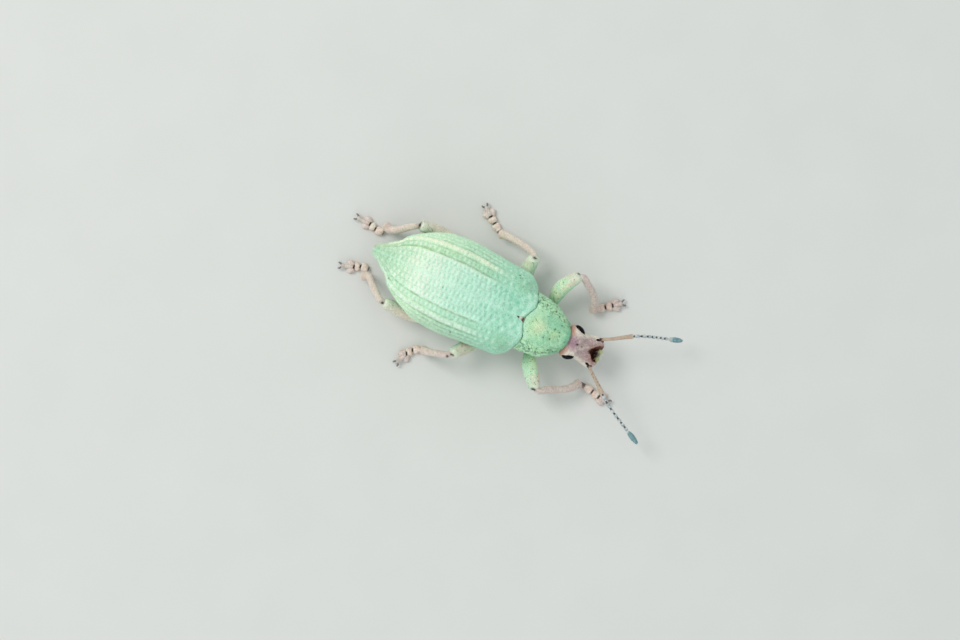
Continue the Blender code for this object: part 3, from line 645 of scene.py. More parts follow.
def elytronRelief(s, degrees, x, side):
    # ridges less grooves, each a bell across the arc, less the pits, with a hump before every pit
    half = through(elytra["s"], elytra["half"], s)
    perDegree = math.pi / 180 * half
    fade = np.clip(half / 1.3, 0, 1) * (0.25 + 0.75 * smooth(-s, 0.4, 1.9))
    height = np.zeros_like(x)
    for centre, depth, wide in elytra["grooves"]:
        far = (degrees - striaDrift(s, centre)) * perDegree
        height -= depth * bell(far, wide) * fade
    for centre, tall, wide in elytra["ridges"]:
        far = (degrees - striaDrift(s, centre)) * perDegree
        height += tall * bell(far, wide) * fade
    pits, bars, deep = pitField(s, degrees, perDegree, side)
    tame = np.clip(half / 1.3, 0, 1) * (0.75 + 0.25 * smooth(-s, 0.1, 1.2))
    height += tame * (0.018 * bars - deep)
    height -= 0.05 * dab(s, x, -0.75, 0.55, 0.55, 0.30) + 0.03 * dab(s, x, -1.6, 0.35, 0.5, 0.2)
    height += 0.06 * dab(s, x, -0.42, 1.55, 0.45, 0.35)  # shoulder
    height += 0.05 * dab(s, x, -5.7, 1.2, 0.4, 0.3)  # swelling before the tip
    u = degrees * perDegree * side
    height += 0.008 * cloud(u, s, 0.35, 3) + 0.007 * cloud(u, s, 0.13, 4) + 0.005 * cloud(u, s, 0.06, 5)
    return height


def elytronColour(s, colours):
    # colour stations along the wing cover, straight between them
    stations = (-7.7, -6.9, -6.3, -5.2, -4.2, -3.0, -1.6, -0.6, 0.3)
    table = np.array([linear(*colour) for colour in colours])
    return np.column_stack([np.interp(s, stations, table[:, k]) for k in range(3)])


def paintElytra(points):
    # mint at the front to pearl behind, the rear middle partly a painted highlight; teal pits and pale bars, olive
    # grooves and cream ridges toward the sides, the pits and grooves partly painted shade, the bars and ridges partly
    # painted highlight; a painted sheen over all, painted shade on the right flank
    signedX, s, z = points.T
    x = np.abs(signedX)
    side = np.where(signedX > 0, 1.0, -1.0)
    left = signedX > 0
    half, top = sizesAt(elytra, np.clip(s, -7.7, baseS), ("s", "half"), ("topS", "top"))
    level = through(elytra["marginS"], elytra["margin"], np.clip(s, -7.6, baseS))
    sine = np.clip(x / half, 0, 1) ** (1 / elytra["power"])
    cosine = signedPower(np.clip((z - level) / np.maximum(top - level, 0.05), -1, 1), 1 / elytra["power"])
    degrees = np.degrees(np.arctan2(sine, cosine))
    perDegree = math.pi / 180 * half
    u = degrees * perDegree * side
    # the near-white band round s -5.2 in both tables is partly the covers' own pearl and partly a painted highlight
    # across the rear middle
    discColour = elytronColour(s, (
        (138, 192, 150), (158, 208, 170), (186, 226, 192), (228, 248, 226), (214, 244, 224), (202, 240, 220),
        (194, 238, 217), (186, 234, 210), (190, 236, 214),
    ))
    outerColour = elytronColour(s, (
        (138, 190, 148), (156, 206, 168), (180, 224, 186), (206, 238, 204), (196, 234, 200), (186, 228, 198),
        (178, 226, 198), (172, 224, 192), (184, 232, 204),
    ))
    outer = smooth(degrees, 25.5, 30.5) * (0.5 + 0.5 * smooth(-s, 0.6, 1.8))
    colour = mixed(discColour, outerColour, outer)
    behind = smooth(-s, 1.5, 3)
    colour = layered(
        colour,
        ((196, 240, 214), 0.55 * bell(degrees - 33, 4) * (~left) * behind),
        ((172, 214, 160), 0.6 * bell(degrees - 33, 4.5) * left * behind),
        ((146, 202, 162), 0.65 * dab(s, x, -0.35, 1.5, 0.55, 0.45)),
        ((196, 240, 218), 0.6 * smooth(s - baseLobe(x, s), 0.02, 0.20) * (x < 1.3)),
    )
    wide = cloud(u, s, 0.3, 11)
    fine = cloud(u, s, 0.10, 12) + 0.7 * cloud(u, s, 0.05, 13)
    front = smooth(s, -3.6, -0.6)
    colour = layered(
        colour,
        ((140, 214, 186), front * np.clip(0.06 + 0.22 * wide + 0.26 * fine, 0, 1)),
        ((236, 248, 224), (1 - front) * np.clip(0.05 + 0.16 * wide + 0.16 * fine, 0, 1)),
    )
    for tealS, tealX, reachS, reachX, strength in elytra["teal"]:
        patch = dab(s, signedX, tealS, tealX, reachS, reachX) * strength * np.clip(0.75 + 0.6 * fine, 0, 1.3)
        colour = mixed(colour, linear(116, 206, 170), 0.85 * patch)
    pits, bars, _ = pitField(s, degrees, perDegree, side)
    calm = np.clip(half / 1.3, 0, 1) * (0.72 + 0.28 * smooth(-s, 0.2, 1.4))
    # pits painted darker teal: partly their own colour, partly painted shade in the pits
    shade = mixed(plain(len(x), 132, 206, 174), linear(160, 216, 180), smooth(-s, 3.6, 5.4))
    colour = mixed(colour, shade, (0.72 + 0.10 * front) * pits * calm)
    # bars painted pale: partly their own colour, partly a painted highlight on the humps between the pits
    pearl = mixed(plain(len(x), 216, 246, 230), linear(246, 253, 238), smooth(-s, 2.8, 4.8))
    colour = mixed(colour, pearl, 0.85 * bars * calm)
    grow = smooth(-s, 0.9, 2.4) * np.clip(half / 0.9, 0, 1)
    # cream on the ridges: partly their own colour, partly a painted highlight on the raised rows
    for centre, _, wideness in elytra["ridges"]:
        far = (degrees - striaDrift(s, centre)) * perDegree
        strength = {24.2: 0.30, 43.8: 0.85}.get(centre, 0.6)
        cream = mixed(plain(len(x), 236, 252, 234), linear(246, 251, 222), left * 1.0)
        pale = cream if centre < 50 else linear(216, 244, 214)
        ragged = np.clip(0.85 + 0.5 * cloud(u, s, 0.12, 17), 0, 1)
        colour = mixed(colour, pale, strength * bell(far, wideness) * grow * ragged)
    # olive in the grooves: partly their own colour, partly painted shade in the sunken rows
    for centre, _, wideness in elytra["grooves"]:
        far = (degrees - striaDrift(s, centre)) * perDegree
        strength = {1.6: 0.1, 9.2: 0.2, 17.2: 0.26, 27.7: 0.66, 37.8: 0.42, 50.9: 0.75}.get(centre, 0.66)
        olive = linear(134, 170, 124) if centre < 55 else linear(112, 164, 128)
        ragged = np.clip(0.75 + 0.9 * cloud(u, s, 0.15, 18), 0, 1)
        colour = mixed(colour, olive, strength * bell(far, wideness * 0.72) * grow * ragged)
    colour = mixed(colour, linear(216, 242, 218), 0.5 * smooth(degrees, 84, 100) * smooth(-s, 0.4, 1.4))
    for speckS, speckX, size in elytra["specks"]:
        colour = mixed(colour, linear(38, 46, 36), 1.3 * dab(s, signedX, speckS, speckX, size, size * 0.8))
    colour = mixed(colour, linear(206, 240, 222), 0.5 * bell(x, 0.05))
    fleck = cloud(u, s, 0.07, 21) + 0.5 * cloud(u, s, 0.03, 22)
    colour = mixed(colour, linear(96, 166, 138), smooth(fleck, 0.80, 1.15) * (0.2 + 0.5 * front))
    # tone: a painted sheen lifts the whole cover's colour, and painted shade darkens the outer right flank from the
    # front back to about s -5
    tone = 1.09 - 0.12 * smooth(-signedX, 1.3, 2.3) * smooth(-s, 5.6, 4.2)
    # the near-white dab left of the suture at s -5.6 is a painted highlight
    colour = mixed(colour * tone[:, None], linear(252, 240, 226), 0.4 * dab(s, signedX, -5.6, 0.3, 0.2, 0.12))
    return mixed(colour, linear(168, 132, 92), 0.8 * dab(s, signedX, -7.72, 0.2, 0.06, 0.08))


def elytronGrid(rows, across, side):
    # rows stand closer at both ends, where the outline turns fast
    f = np.linspace(0, 1, rows)
    s = baseS - (baseS - apexS) * (0.55 * f + 0.45 * (0.5 - 0.5 * np.cos(math.pi * f)))
    degrees = elytra["rimDegrees"] * np.linspace(0, 1, across)
    stationS, turn = np.meshgrid(s, degrees, indexing="ij")
    grid = elytronArc(stationS, turn, 0.0)
    relief = elytronRelief(stationS, turn, grid[..., 0], side)
    grid = pushed(grid, relief * smooth(-stationS, -apexS, 7.5), (0.0, -3.5, 1.0))
    grid[..., 0] = np.maximum(grid[..., 0], elytra["slit"] * 0.6)
    return grid, s


coverSkins = {}
for sideName, sign in (("left", 1), ("right", -1)):
    elytronOuter, elytronS = elytronGrid(elytra["rows"], elytra["across"], float(sign))
    innerS, innerTurn = np.meshgrid(elytronS, np.linspace(elytra["rimDegrees"] - 4, 0, 20), indexing="ij")
    innerThick = np.minimum(elytra["thick"], 0.5 * through(elytra["s"], elytra["half"], innerS))
    elytronInner = elytronArc(innerS, innerTurn, innerThick)
    elytronInner[:, 0, 2] = elytronOuter[:, -1, 2]
    both = np.concatenate([elytronOuter, elytronInner], axis=1) * (sign, 1, 1)
    makePiece(
        "wingCover_" + sideName, closedGrid(both), materials["mintSkin"], paintElytra,
        ["elytron_" + sideName],
    )
    coverSkins[sideName] = elytronOuter * (sign, 1, 1)
print("stage: wing covers")

# pronotum
pronotum = {
    "s": (0.265, 0.76, 1.14, 1.52, 1.9, 2.28, 2.6),
    "half": (1.47, 1.43, 1.38, 1.30, 1.13, 0.95, 0.79),
    "top": (3.56, 3.68, 3.70, 3.62, 3.48, 3.30, 3.10),
    "bottom": (1.15, 1.05, 1.0, 1.0, 1.08, 1.25, 1.42),
    "bulge": (0.0, 0.0, -0.02, -0.045, -0.06, -0.04, 0.0),
    "frontCurve": 0.24,
    "rows": 220,
    "around": 300,
    "sidePits": 230,
    # punctures: s, x, radius
    "pits": (
        (1.80, 0.19, 0.045), (2.05, 0.14, 0.034), (1.54, -0.05, 0.028), (1.45, -0.38, 0.034), (1.75, -0.32, 0.04),
        (0.81, 0.22, 0.028), (0.99, 1.10, 0.045), (1.52, 0.98, 0.04), (1.74, 0.84, 0.03), (2.03, 0.49, 0.032),
        (1.07, -1.165, 0.045), (2.16, -0.81, 0.034), (1.89, -0.995, 0.03), (1.14, 0.29, 0.018), (0.54, -0.05, 0.018),
        (0.68, 0.08, 0.02), (1.11, -0.42, 0.024), (2.12, 0.0, 0.028), (1.71, -1.04, 0.032), (1.41, -1.16, 0.03),
        (2.26, -0.44, 0.024), (2.46, -0.17, 0.028), (1.68, 0.55, 0.02), (2.05, 0.745, 0.024), (1.62, 0.16, 0.016),
        (1.93, -0.12, 0.018), (1.30, 0.62, 0.018), (0.92, -0.3, 0.016), (1.36, 0.05, 0.016), (1.86, -0.55, 0.02),
    ),
}


def pronotumRing(s, turn, scale, setBack):
    # rounded section: half width times sin, rise above and drop below the middle level times cos
    sizes = sizesAt(pronotum, s, ("s", "half"), ("s", "top"), ("s", "bottom"), ("s", "bulge"))
    half, top, bottom, bulge = sizes
    level = 0.5 * (top + bottom) - 0.08
    x = half * scale * signedPower(np.sin(turn), 0.95)
    up = np.cos(turn)
    z = level + np.where(up > 0, top - level, level - bottom) * scale * signedPower(up, 0.95)
    back = np.clip((1.4 - s) / (1.4 - 0.28), 0, 1) ** 2
    front = np.clip((s - 1.6) / 1.0, 0, 1) ** 2
    alongS = s - setBack + lobeAt(x) * back - pronotum["frontCurve"] * (x / 0.75) ** 2 * front
    return np.stack([x + bulge, alongS, z], -1)


pitRng = np.random.default_rng(5)
pitCount = pronotum["sidePits"]
sidePits = np.column_stack([
    pitRng.uniform(0.62, 2.45, pitCount), pitRng.uniform(40, 118, pitCount) * pitRng.choice((-1, 1), pitCount),
    pitRng.uniform(0.014, 0.034, pitCount),
])


def pitMask(s, x, z):
    # 1 at the middle of each puncture, falling off as a bell
    mask = np.zeros_like(x)
    for pitS, pitX, size in pronotum["pits"]:
        mask = np.maximum(mask, dab(s, x, pitS, pitX, size, size) * (z > 2.2))
    half, shift = sizesAt(pronotum, np.clip(sidePits[:, 0], 0.43, 2.6), ("s", "half"), ("s", "bulge"))
    for (pitS, degrees, size), wide, aside in zip(sidePits, half, shift):
        angle = math.radians(degrees)
        pitX = aside + wide * math.copysign(abs(math.sin(angle)) ** 0.95, angle)
        pitZ = 2.3 + (1.35 if math.cos(angle) > 0 else 1.25) * wide / 1.45 * math.cos(angle)
        near = 0.8 * np.exp(-(((s - pitS) ** 2 + (x - pitX) ** 2 + (z - pitZ) ** 2) / (1.6 * size * size)))
        mask = np.maximum(mask, near)
    return mask


def wrinkles(s, x, z):
    # fine grooves run where a value noise on the unrolled shield crosses zero; deep at the sides, faint on top
    u = np.arctan2(x, z - 2.35) * 1.35
    lines = bell(cloud(u, s, 0.12, 34), 0.24)
    sides = smooth(np.abs(u), 0.62, 1.25)
    return lines * (0.16 + 0.84 * sides), u


def paintPronotum(points):
    # mint green, cream-yellow on the middle line, speckled with teal, wrinkled and paler at the sides, black punctures
    x, s, z = points.T
    lines, u = wrinkles(s, x, z)
    colour = plain(len(x), 190, 234, 196)
    wide = cloud(u, s, 0.22, 32)
    fine = cloud(u, s, 0.085, 31) + 0.7 * cloud(u, s, 0.042, 35)
    above = z > 2.5
    colour = layered(
        colour,
        ((148, 216, 174), np.clip(0.40 + 0.30 * wide + 0.34 * fine, 0, 1)),
        ((140, 212, 176), 0.5 * dab(s, x, 1.55, 0.42, 0.4, 0.3) * above),
    )
    mottle = np.clip(0.85 + 0.5 * fine, 0, 1)
    colour = layered(
        colour,
        ((236, 238, 204), 0.95 * dab(s, x, 1.10, 0.0, 0.26, 0.28) * mottle * above),
        ((216, 236, 190), 0.6 * dab(s, x, 0.85, -0.05, 0.4, 0.6) * above),
        ((204, 228, 170), 0.55 * dab(s, x, 1.86, -0.08, 0.24, 0.24) * above),
        ((206, 240, 214), 0.6 * smooth(s - lobeAt(x), 0.62, 0.36) * above),
    )
    sides = smooth(np.abs(u), 0.70, 1.15)
    colour = layered(
        colour,
        ((204, 246, 200), sides * np.clip(0.60 + 0.5 * fine, 0, 1)),
        ((112, 198, 152), 0.55 * smooth(s + 0.24 * (x / 0.75) ** 2, 2.34, 2.52)),
        ((74, 142, 108), 0.85 * lines * np.clip(0.85 + 0.7 * wide, 0, 1)),
        ((150, 190, 150), smooth(z, 2.0, 1.2) * 0.6),
    )
    freckle = cloud(u, s, 0.06, 36) + 0.6 * cloud(u, s, 0.03, 37)
    return layered(
        colour,
        ((70, 120, 92), 0.75 * smooth(freckle, 0.88, 1.15)),
        ((20, 24, 20), 1.25 * pitMask(s, x, z) ** 1.3),
    )


shieldRows = pronotum["rows"]
shieldRear, shieldFront = pronotum["s"][0], pronotum["s"][-1]
pronotumS = np.concatenate([np.linspace(shieldRear, shieldFront, shieldRows), [shieldFront] * 5])
# the last five rings turn in at the collar: scale and how far back
pronotumScale = np.concatenate([np.ones(shieldRows), [0.99, 0.975, 0.95, 0.93, 0.92]])
pronotumBack = np.concatenate([np.zeros(shieldRows), [0.0, 0.008, 0.04, 0.12, 0.26]])
rearRound = 1 - 0.04 * (1 - np.sqrt(np.clip(1 - np.clip((0.34 - pronotumS) / 0.06, 0, 1) ** 2, 0, 1)))
frontRound = 1 - 0.03 * smooth(pronotumS, 2.5, 2.6)
pronotumTurn = circle(pronotum["around"])
ringS, ringTurn = np.meshgrid(pronotumS, pronotumTurn, indexing="ij")
pronotumGrid = pronotumRing(ringS, ringTurn, (pronotumScale * rearRound * frontRound)[:, None], pronotumBack[:, None])
shieldX, shieldS, shieldZ = (pronotumGrid[..., k] for k in range(3))
creases, unrolled = wrinkles(shieldS, shieldX, shieldZ)
granules = 0.012 * cloud(unrolled, shieldS, 0.085, 31) + 0.010 * cloud(unrolled, shieldS, 0.22, 32) - 0.04 * creases
granules -= 0.045 * pitMask(shieldS.ravel(), shieldX.ravel(), shieldZ.ravel()).reshape(granules.shape)
granules -= 0.02 * dab(shieldS, shieldX, 1.45, 0.0, 0.8, 0.05) * (shieldZ > 2.5)
pronotumGrid = pushed(pronotumGrid, granules * (pronotumBack[:, None] < 0.01), (0.0, 1.5, 2.3))
makePiece(
    "pronotumShield", closedGrid(pronotumGrid, (0, 0.62, 2.3)), materials["pronotumSkin"],
    paintPronotum, ["pronotum"],
)
print("stage: pronotum")

# head and rostrum
head = {
    # s, z, tilt in degrees, half width, half height, squareness
    "rings": (
        (2.40, 2.24, 0, 0.55, 0.58, 2.0), (2.51, 2.25, 3, 0.75, 0.63, 2.0), (2.61, 2.25, 5, 0.82, 0.66, 2.1),
        (2.76, 2.25, 9, 0.80, 0.71, 2.2), (2.92, 2.22, 14, 0.73, 0.70, 2.2), (3.12, 2.14, 22, 0.64, 0.62, 2.4),
        (3.28, 2.06, 28, 0.65, 0.56, 2.7), (3.50, 1.93, 34, 0.69, 0.50, 3.0), (3.80, 1.72, 36, 0.755, 0.44, 3.0),
        (3.98, 1.59, 38, 0.79, 0.39, 3.0), (4.08, 1.52, 38, 0.70, 0.35, 2.8), (4.18, 1.45, 38, 0.58, 0.28, 2.4),
    ),
    "tip": (0, 4.24, 1.40),
    "eye": (0.70, 2.92, 2.42),
    "eyeRadii": (0.15, 0.285, 0.24),
    "eyeTurn": 22.0,
    "scrobe": (0.615, 3.90, 2.02),
    "scrobeRadii": (0.055, 0.18, 0.16),
    "scrobeTurn": -24.0,
    "seat": (0.74, 4.10, 1.87),
    "seatRadius": 0.15,
    # mouth notch: a broad hollow with a narrow one behind it
    "mouth": (((0.0, 4.30, 1.92), (0.40, 0.52, 0.62)), ((0.01, 4.00, 2.22), (0.17, 0.27, 0.24))),
    "around": 180,
    "rows": 190,
}


def headGrid():
    # each ring is a squared ellipse, tipped forward and down, its sizes taken smoothly along the head
    table = np.array(head["rings"])
    share = np.linspace(0, 1, len(table))
    f = np.linspace(0, 1, head["rows"])
    s, z, tilt, half, high, square = (through(share, table[:, k], f)[:, None] for k in range(6))
    angle = np.radians(tilt)
    turn = circle(head["around"])[None]
    across = half * signedPower(np.sin(turn), 2 / square)
    up = high * signedPower(np.cos(turn), 2 / square)
    above = np.cos(turn) > 0
    channel = 0.055 * smooth(s, 2.98, 3.2) * bell(across, 0.40 * half)
    margin = 0.035 * smooth(s, 3.1, 3.35) * bell(np.abs(across) - 0.80 * half, 0.13 * half)
    browRidge = 0.04 * dab(s, np.abs(across), 2.98, 0.50, 0.16, 0.09)
    keel = 0.02 * smooth(s, 3.35, 3.55) * smooth(s, 3.85, 3.6) * bell(across, 0.05)
    pit = 0.10 * dab(s, across, 3.08, 0.0, 0.075, 0.04) + 0.035 * dab(s, across, 3.33, 0.0, 0.05, 0.03)
    dents = 0.022 * dab(s, np.abs(across), 3.30, 0.28, 0.16, 0.10)
    up = up + (margin + browRidge + keel - channel - pit - dents) * above
    grid = np.stack([across + 0 * s, s + up * np.sin(angle), z + up * np.cos(angle)], -1)
    grain = 0.006 * cloud(grid[..., 0], grid[..., 1] + grid[..., 2], 0.07, 51)
    grain += 0.008 * cloud(grid[..., 0], grid[..., 1] + grid[..., 2], 0.17, 52)
    grid = pushed(grid, grain, (0.0, 3.2, 2.0))
    for sign in (1, -1):
        side = np.array((sign, 1, 1))
        socket = np.array(head["eyeRadii"]) + 0.015
        grid = carved(grid, np.array(head["eye"]) * side, socket, (-sign, 0, -0.15), head["eyeTurn"] * sign)
        slit = np.array(head["scrobe"]) * side
        grid = carved(grid, slit, head["scrobeRadii"], (-sign * 0.1, -0.3, -0.95), head["scrobeTurn"] * sign)
        grid = carved(grid, np.array(head["seat"]) * side, [head["seatRadius"]] * 3, (-sign * 0.6, -0.7, -0.3))
    for centre, radii in head["mouth"]:
        grid = carved(grid, centre, radii, (0, -0.5, -0.866))
    return grid


def inMouth(points, grow):
    # below 1 inside either hollow of the mouth, its radii made larger by the given length
    hollows = [(points - np.array(centre)) / (np.array(radii) + grow) for centre, radii in head["mouth"]]
    return np.minimum(*((hollow**2).sum(-1) for hollow in hollows))


def paintHead(points):
    # mauve pink, purple on the brow, coppery at the sides of its base, cream margins, black pits and scrobes
    x, s, z = points.T
    a = np.abs(x)
    u = x * (1 + 0.9 * (3.0 - z))
    grain = cloud(u, s, 0.09, 53)
    fine = cloud(u, s, 0.042, 54) + 0.6 * cloud(u, s, 0.022, 57)
    colour = plain(len(x), 186, 158, 158)
    colour = mixed(colour, linear(234, 216, 206), np.clip(0.34 + 0.38 * grain + 0.36 * fine, 0, 1))
    mottle = np.clip(0.85 + 0.5 * fine, 0, 1)
    colour = layered(
        colour,
        ((158, 112, 140), 0.95 * dab(s, x, 2.82, -0.03, 0.24, 0.28) * mottle),
        ((156, 146, 148), 0.5 * dab(s, a, 3.3, 0.3, 0.16, 0.14)),
    )
    copper = smooth(s + 0.25 * a, 2.96, 2.80) * smooth(a, 0.20, 0.48)
    colour = mixed(colour, linear(206, 156, 130), 0.85 * copper * np.clip(0.9 + 0.3 * grain, 0, 1))
    cream = linear(238, 232, 216)
    brow = smooth(a + 0.36 * s, 1.34, 1.58) * smooth(s + 0.25 * a, 2.82, 2.95) * smooth(s, 3.28, 3.0)
    colour = mixed(colour, cream, 0.85 * brow * np.clip(0.9 + 0.4 * fine, 0, 1))
    half = through((3.0, 3.2, 3.5, 3.8, 4.0), (0.70, 0.64, 0.69, 0.755, 0.79), s)
    colour = mixed(colour, cream, 0.9 * smooth(a - half, -0.22, -0.04) * smooth(s, 3.0, 3.2))
    streak = smooth(cloud(u * 2.2, s, 0.13, 60), 0.25, 0.75)
    colour = layered(
        colour,
        ((240, 224, 216), 0.5 * streak * smooth(s, 2.95, 3.1)),
        ((158, 120, 134), 0.6 * dab(s, a, 3.62, 0.28, 0.22, 0.12) * np.clip(0.6 + grain, 0, 1)),
        ((214, 206, 178), 0.6 * smooth(z, 2.0, 1.5) * (s < 3.5)),
    )
    rim = inMouth(points, 0.0) * np.clip(1 + 0.30 * cloud(x, s, 0.10, 59) + 0.2 * cloud(x, s, 0.045, 61), 0.5, 1.6)
    colour = layered(
        colour,
        ((166, 104, 84), 0.75 * smooth(rim, 2.6, 1.2) * np.clip(0.8 + 0.5 * grain, 0, 1)),
        ((104, 50, 38), smooth(rim, 1.45, 1.0)),
    )
    fleck = cloud(u, s, 0.05, 58)
    colour = mixed(colour, linear(112, 82, 90), 0.6 * smooth(fleck, 0.72, 0.92))
    dark = linear(12, 8, 9)
    colour = mixed(colour, dark, 1.5 * dab(s, x, 3.07, 0.0, 0.055, 0.05))
    colour = mixed(colour, linear(120, 70, 80), 1.0 * dab(s, x, 3.33, 0.0, 0.04, 0.03))
    for sign in (1, -1):
        spot = swing(points - np.array(head["scrobe"]) * (sign, 1, 1), -head["scrobeTurn"] * sign)
        slit = ((spot[:, 0] / 0.066) ** 2 + (spot[:, 1] / 0.225) ** 2 + (spot[:, 2] / 0.19) ** 2) < 1.0
        colour = np.where(slit[:, None], dark, colour)
        seat = np.linalg.norm(points - np.array(head["seat"]) * (sign, 1, 1), axis=1) < 0.158
        colour = np.where(seat[:, None], linear(148, 108, 98), colour)
        spot = swing(points - np.array(head["eye"]) * (sign, 1, 1), -head["eyeTurn"] * sign)
        socket = ((spot / (np.array(head["eyeRadii"]) + 0.022)) ** 2).sum(-1) < 1
        colour = np.where(socket[:, None], dark, colour)
    # inside the mouth hollow: brown going black deeper in, partly the dark mouthparts and partly painted shade in the
    # hollow; paler brown on its left side
    deep = mixed(np.broadcast_to(linear(112, 60, 44), colour.shape), linear(14, 7, 7), smooth(rim, 1.02, 0.72))
    deep = mixed(deep, linear(156, 110, 94), 0.85 * smooth(x + 0.08 * grain, 0.16, 0.32))
    return np.where((inMouth(points, 0.012) < 1)[:, None], deep, colour)


headRings = headGrid()
makePiece(
    "headCapsule", closedGrid(headRings, None, head["tip"]), materials["headSkin"], paintHead, ["head"]
)


def ball(centre, radii, around, rows):
    # rings from pole to pole: radius times sin, height times cos
    lift = np.linspace(0, math.pi, rows + 2)[1:-1][:, None]
    turn = circle(around)[None]
    x = np.cos(turn) * np.sin(lift) * radii[0]
    s = np.sin(turn) * np.sin(lift) * radii[1]
    z = np.cos(lift) * radii[2] + 0 * turn
    centre = np.asarray(centre, float)
    grid = np.stack([x, s, z], -1) + centre
    return closedGrid(grid, centre + (0, 0, radii[2]), centre - (0, 0, radii[2]))


for sideName, sign in (("left", 1), ("right", -1)):
    centre = np.array(head["eye"]) * (sign, 1, 1)
    globe, globeFaces = ball((0, 0, 0), head["eyeRadii"], 64, 40)
    makePiece(
        "eyeGlobe_" + sideName, (swing(globe, head["eyeTurn"] * sign) + centre, globeFaces), materials["eyeGloss"],
        linear(5, 5, 6), ["eye_" + sideName],
    )


jaw = {
    "s": (3.98, 4.05, 4.15, 4.25, 4.33),
    "half": (0.15, 0.20, 0.205, 0.17, 0.05),
    "low": (1.34, 1.28, 1.24, 1.21, 1.24),
    "high": (1.58, 1.62, 1.57, 1.48, 1.36),
}


def jawRings(sign):
    # one jaw: half a rounded section that narrows forward, with a cleft on the middle line and two blunt teeth
    s = np.linspace(jaw["s"][0], jaw["s"][-1], 40)[:, None]
    half, low, high = sizesAt(jaw, s, ("s", "half"), ("s", "low"), ("s", "high"))
    turn = circle(36)[None]
    x = half * (0.5 + 0.5 * np.sin(turn)) + 0.008
    z = (low + high) / 2 + (high - low) / 2 * np.cos(turn) * (1 - 0.25 * (x / half) ** 2)
    z = z + 0.012 * np.cos(s * 48) * bell(x - 0.03, 0.04)
    return np.stack([x * sign, s + 0 * turn, z], -1)


def paintJaws(points):
    # brown, with the layers below over it
    x, s, z = points.T
    colour = plain(len(x), 62, 36, 28)
    return layered(
        colour,
        ((22, 14, 14), smooth(s, 4.12, 4.3)),
        ((120, 72, 48), 0.5 * smooth(np.abs(x), 0.12, 0.2)),
    )


makePiece(
    "jaws", joined([closedGrid(jawRings(1)), closedGrid(jawRings(-1))]), materials["jawShell"],
    paintJaws, ["mandibles"],
)
print("stage: head")

# under body: thorax and abdomen in one skin, coxae and scutellum set in it
belly = {
    "s": (0.24, -1, -3, -5, -6.5, -7.5),
    "level": (0.95, 0.84, 0.82, 0.92, 1.10, 1.24),
    "grooves": (-3.07, -3.9, -4.8, -5.7, -6.5),
    "coxae": (((0.46, 1.30, 0.96), (0.42, 0.40, 0.42)), ((0.68, -0.60, 0.86), (0.38, 0.38, 0.36)),
              ((0.88, -2.64, 0.84), (0.44, 0.32, 0.34))),
}


def bellyRings():
    # a dome inside the wing covers, a ledge below their rim and a rounded belly with a groove between plates
    s = np.linspace(0.13, -7.2, 200)[:, None]
    half, top, level = sizesAt(elytra, s, ("s", "half"), ("topS", "top"), ("marginS", "margin"))
    drop = np.minimum(elytra["rimDrop"], half)
    thick = np.minimum(0.45, 0.62 * half)
    inside = thick + 0.26
    rimTurn, power = math.radians(elytra["rimDegrees"]), elytra["power"]
    rimX = half * math.sin(rimTurn) ** power
    floorZ = level + drop * signedPower(np.cos(rimTurn), power) - 0.08
    low = through(belly["s"], belly["level"], s)
    for groove in belly["grooves"]:
        low = low + 0.06 * bell(s - groove, 0.05)
    low = low + 0.012 * cloud(s, s * 0, 0.3, 61)
    phi = np.radians(np.linspace(0, 96, 16))[None]
    domeX = np.maximum(half - inside, 0.05) * np.sin(phi) ** power
    domeRise = np.where(np.cos(phi) > 0, np.maximum(top - level - inside, 0.05), drop)
    domeZ = level + domeRise * signedPower(np.cos(phi), power)
    psi = np.radians(np.linspace(2, 90, 34))[None]
    sideX = rimX * 0.985 * np.cos(psi) ** power
    sideZ = floorZ - (floorZ - low) * np.sin(psi)
    right = np.stack([
        np.concatenate([domeX, np.maximum(rimX - inside, 0.04), rimX * 0.94, sideX], axis=1),
        np.concatenate([domeZ, floorZ, floorZ, sideZ], axis=1),
    ], -1)
    left = right[:, -2:0:-1] * (-1, 1)
    section = np.concatenate([right, left], axis=1)
    alongS = s + baseLobe(section[..., 0], s)
    return np.stack([section[..., 0], alongS, section[..., 1]], -1)


def paintBelly(points):
    # pale green, cream at the flanks, dark in the grooves between plates and brown under the covers
    x, s, z = points.T
    colour = plain(len(x), 176, 214, 178)
    grain = cloud(x, s, 0.12, 62)
    colour = mixed(colour, linear(206, 196, 176), 0.45 * smooth(np.abs(x), 1.2, 0.2) + 0.25 * grain)
    for groove in belly["grooves"]:
        colour = mixed(colour, linear(92, 96, 78), 0.7 * bell(s - groove, 0.04) * (z < 1.7))
    return mixed(colour, linear(88, 58, 40), 0.8 * (z > 2.4))


def coxaParts(index):
    # an ellipsoid on each side
    centre, radii = belly["coxae"][index]
    return [ball(np.array(centre) * (sign, 1, 1), radii, 40, 24) for sign in (1, -1)]


def paintScutellum(points):
    # pale green, with the layers below over it
    x, s, z = points.T
    colour = plain(len(x), 196, 222, 196)
    return layered(
        colour,
        ((226, 222, 208), dab(s, x, 0.08, -0.02, 0.09, 0.09)),
        ((96, 60, 44), 1.4 * dab(s, x, 0.21, -0.06, 0.07, 0.17)),
        ((18, 22, 20), 1.5 * dab(s, x, -0.05, -0.02, 0.055, 0.06)),
    )


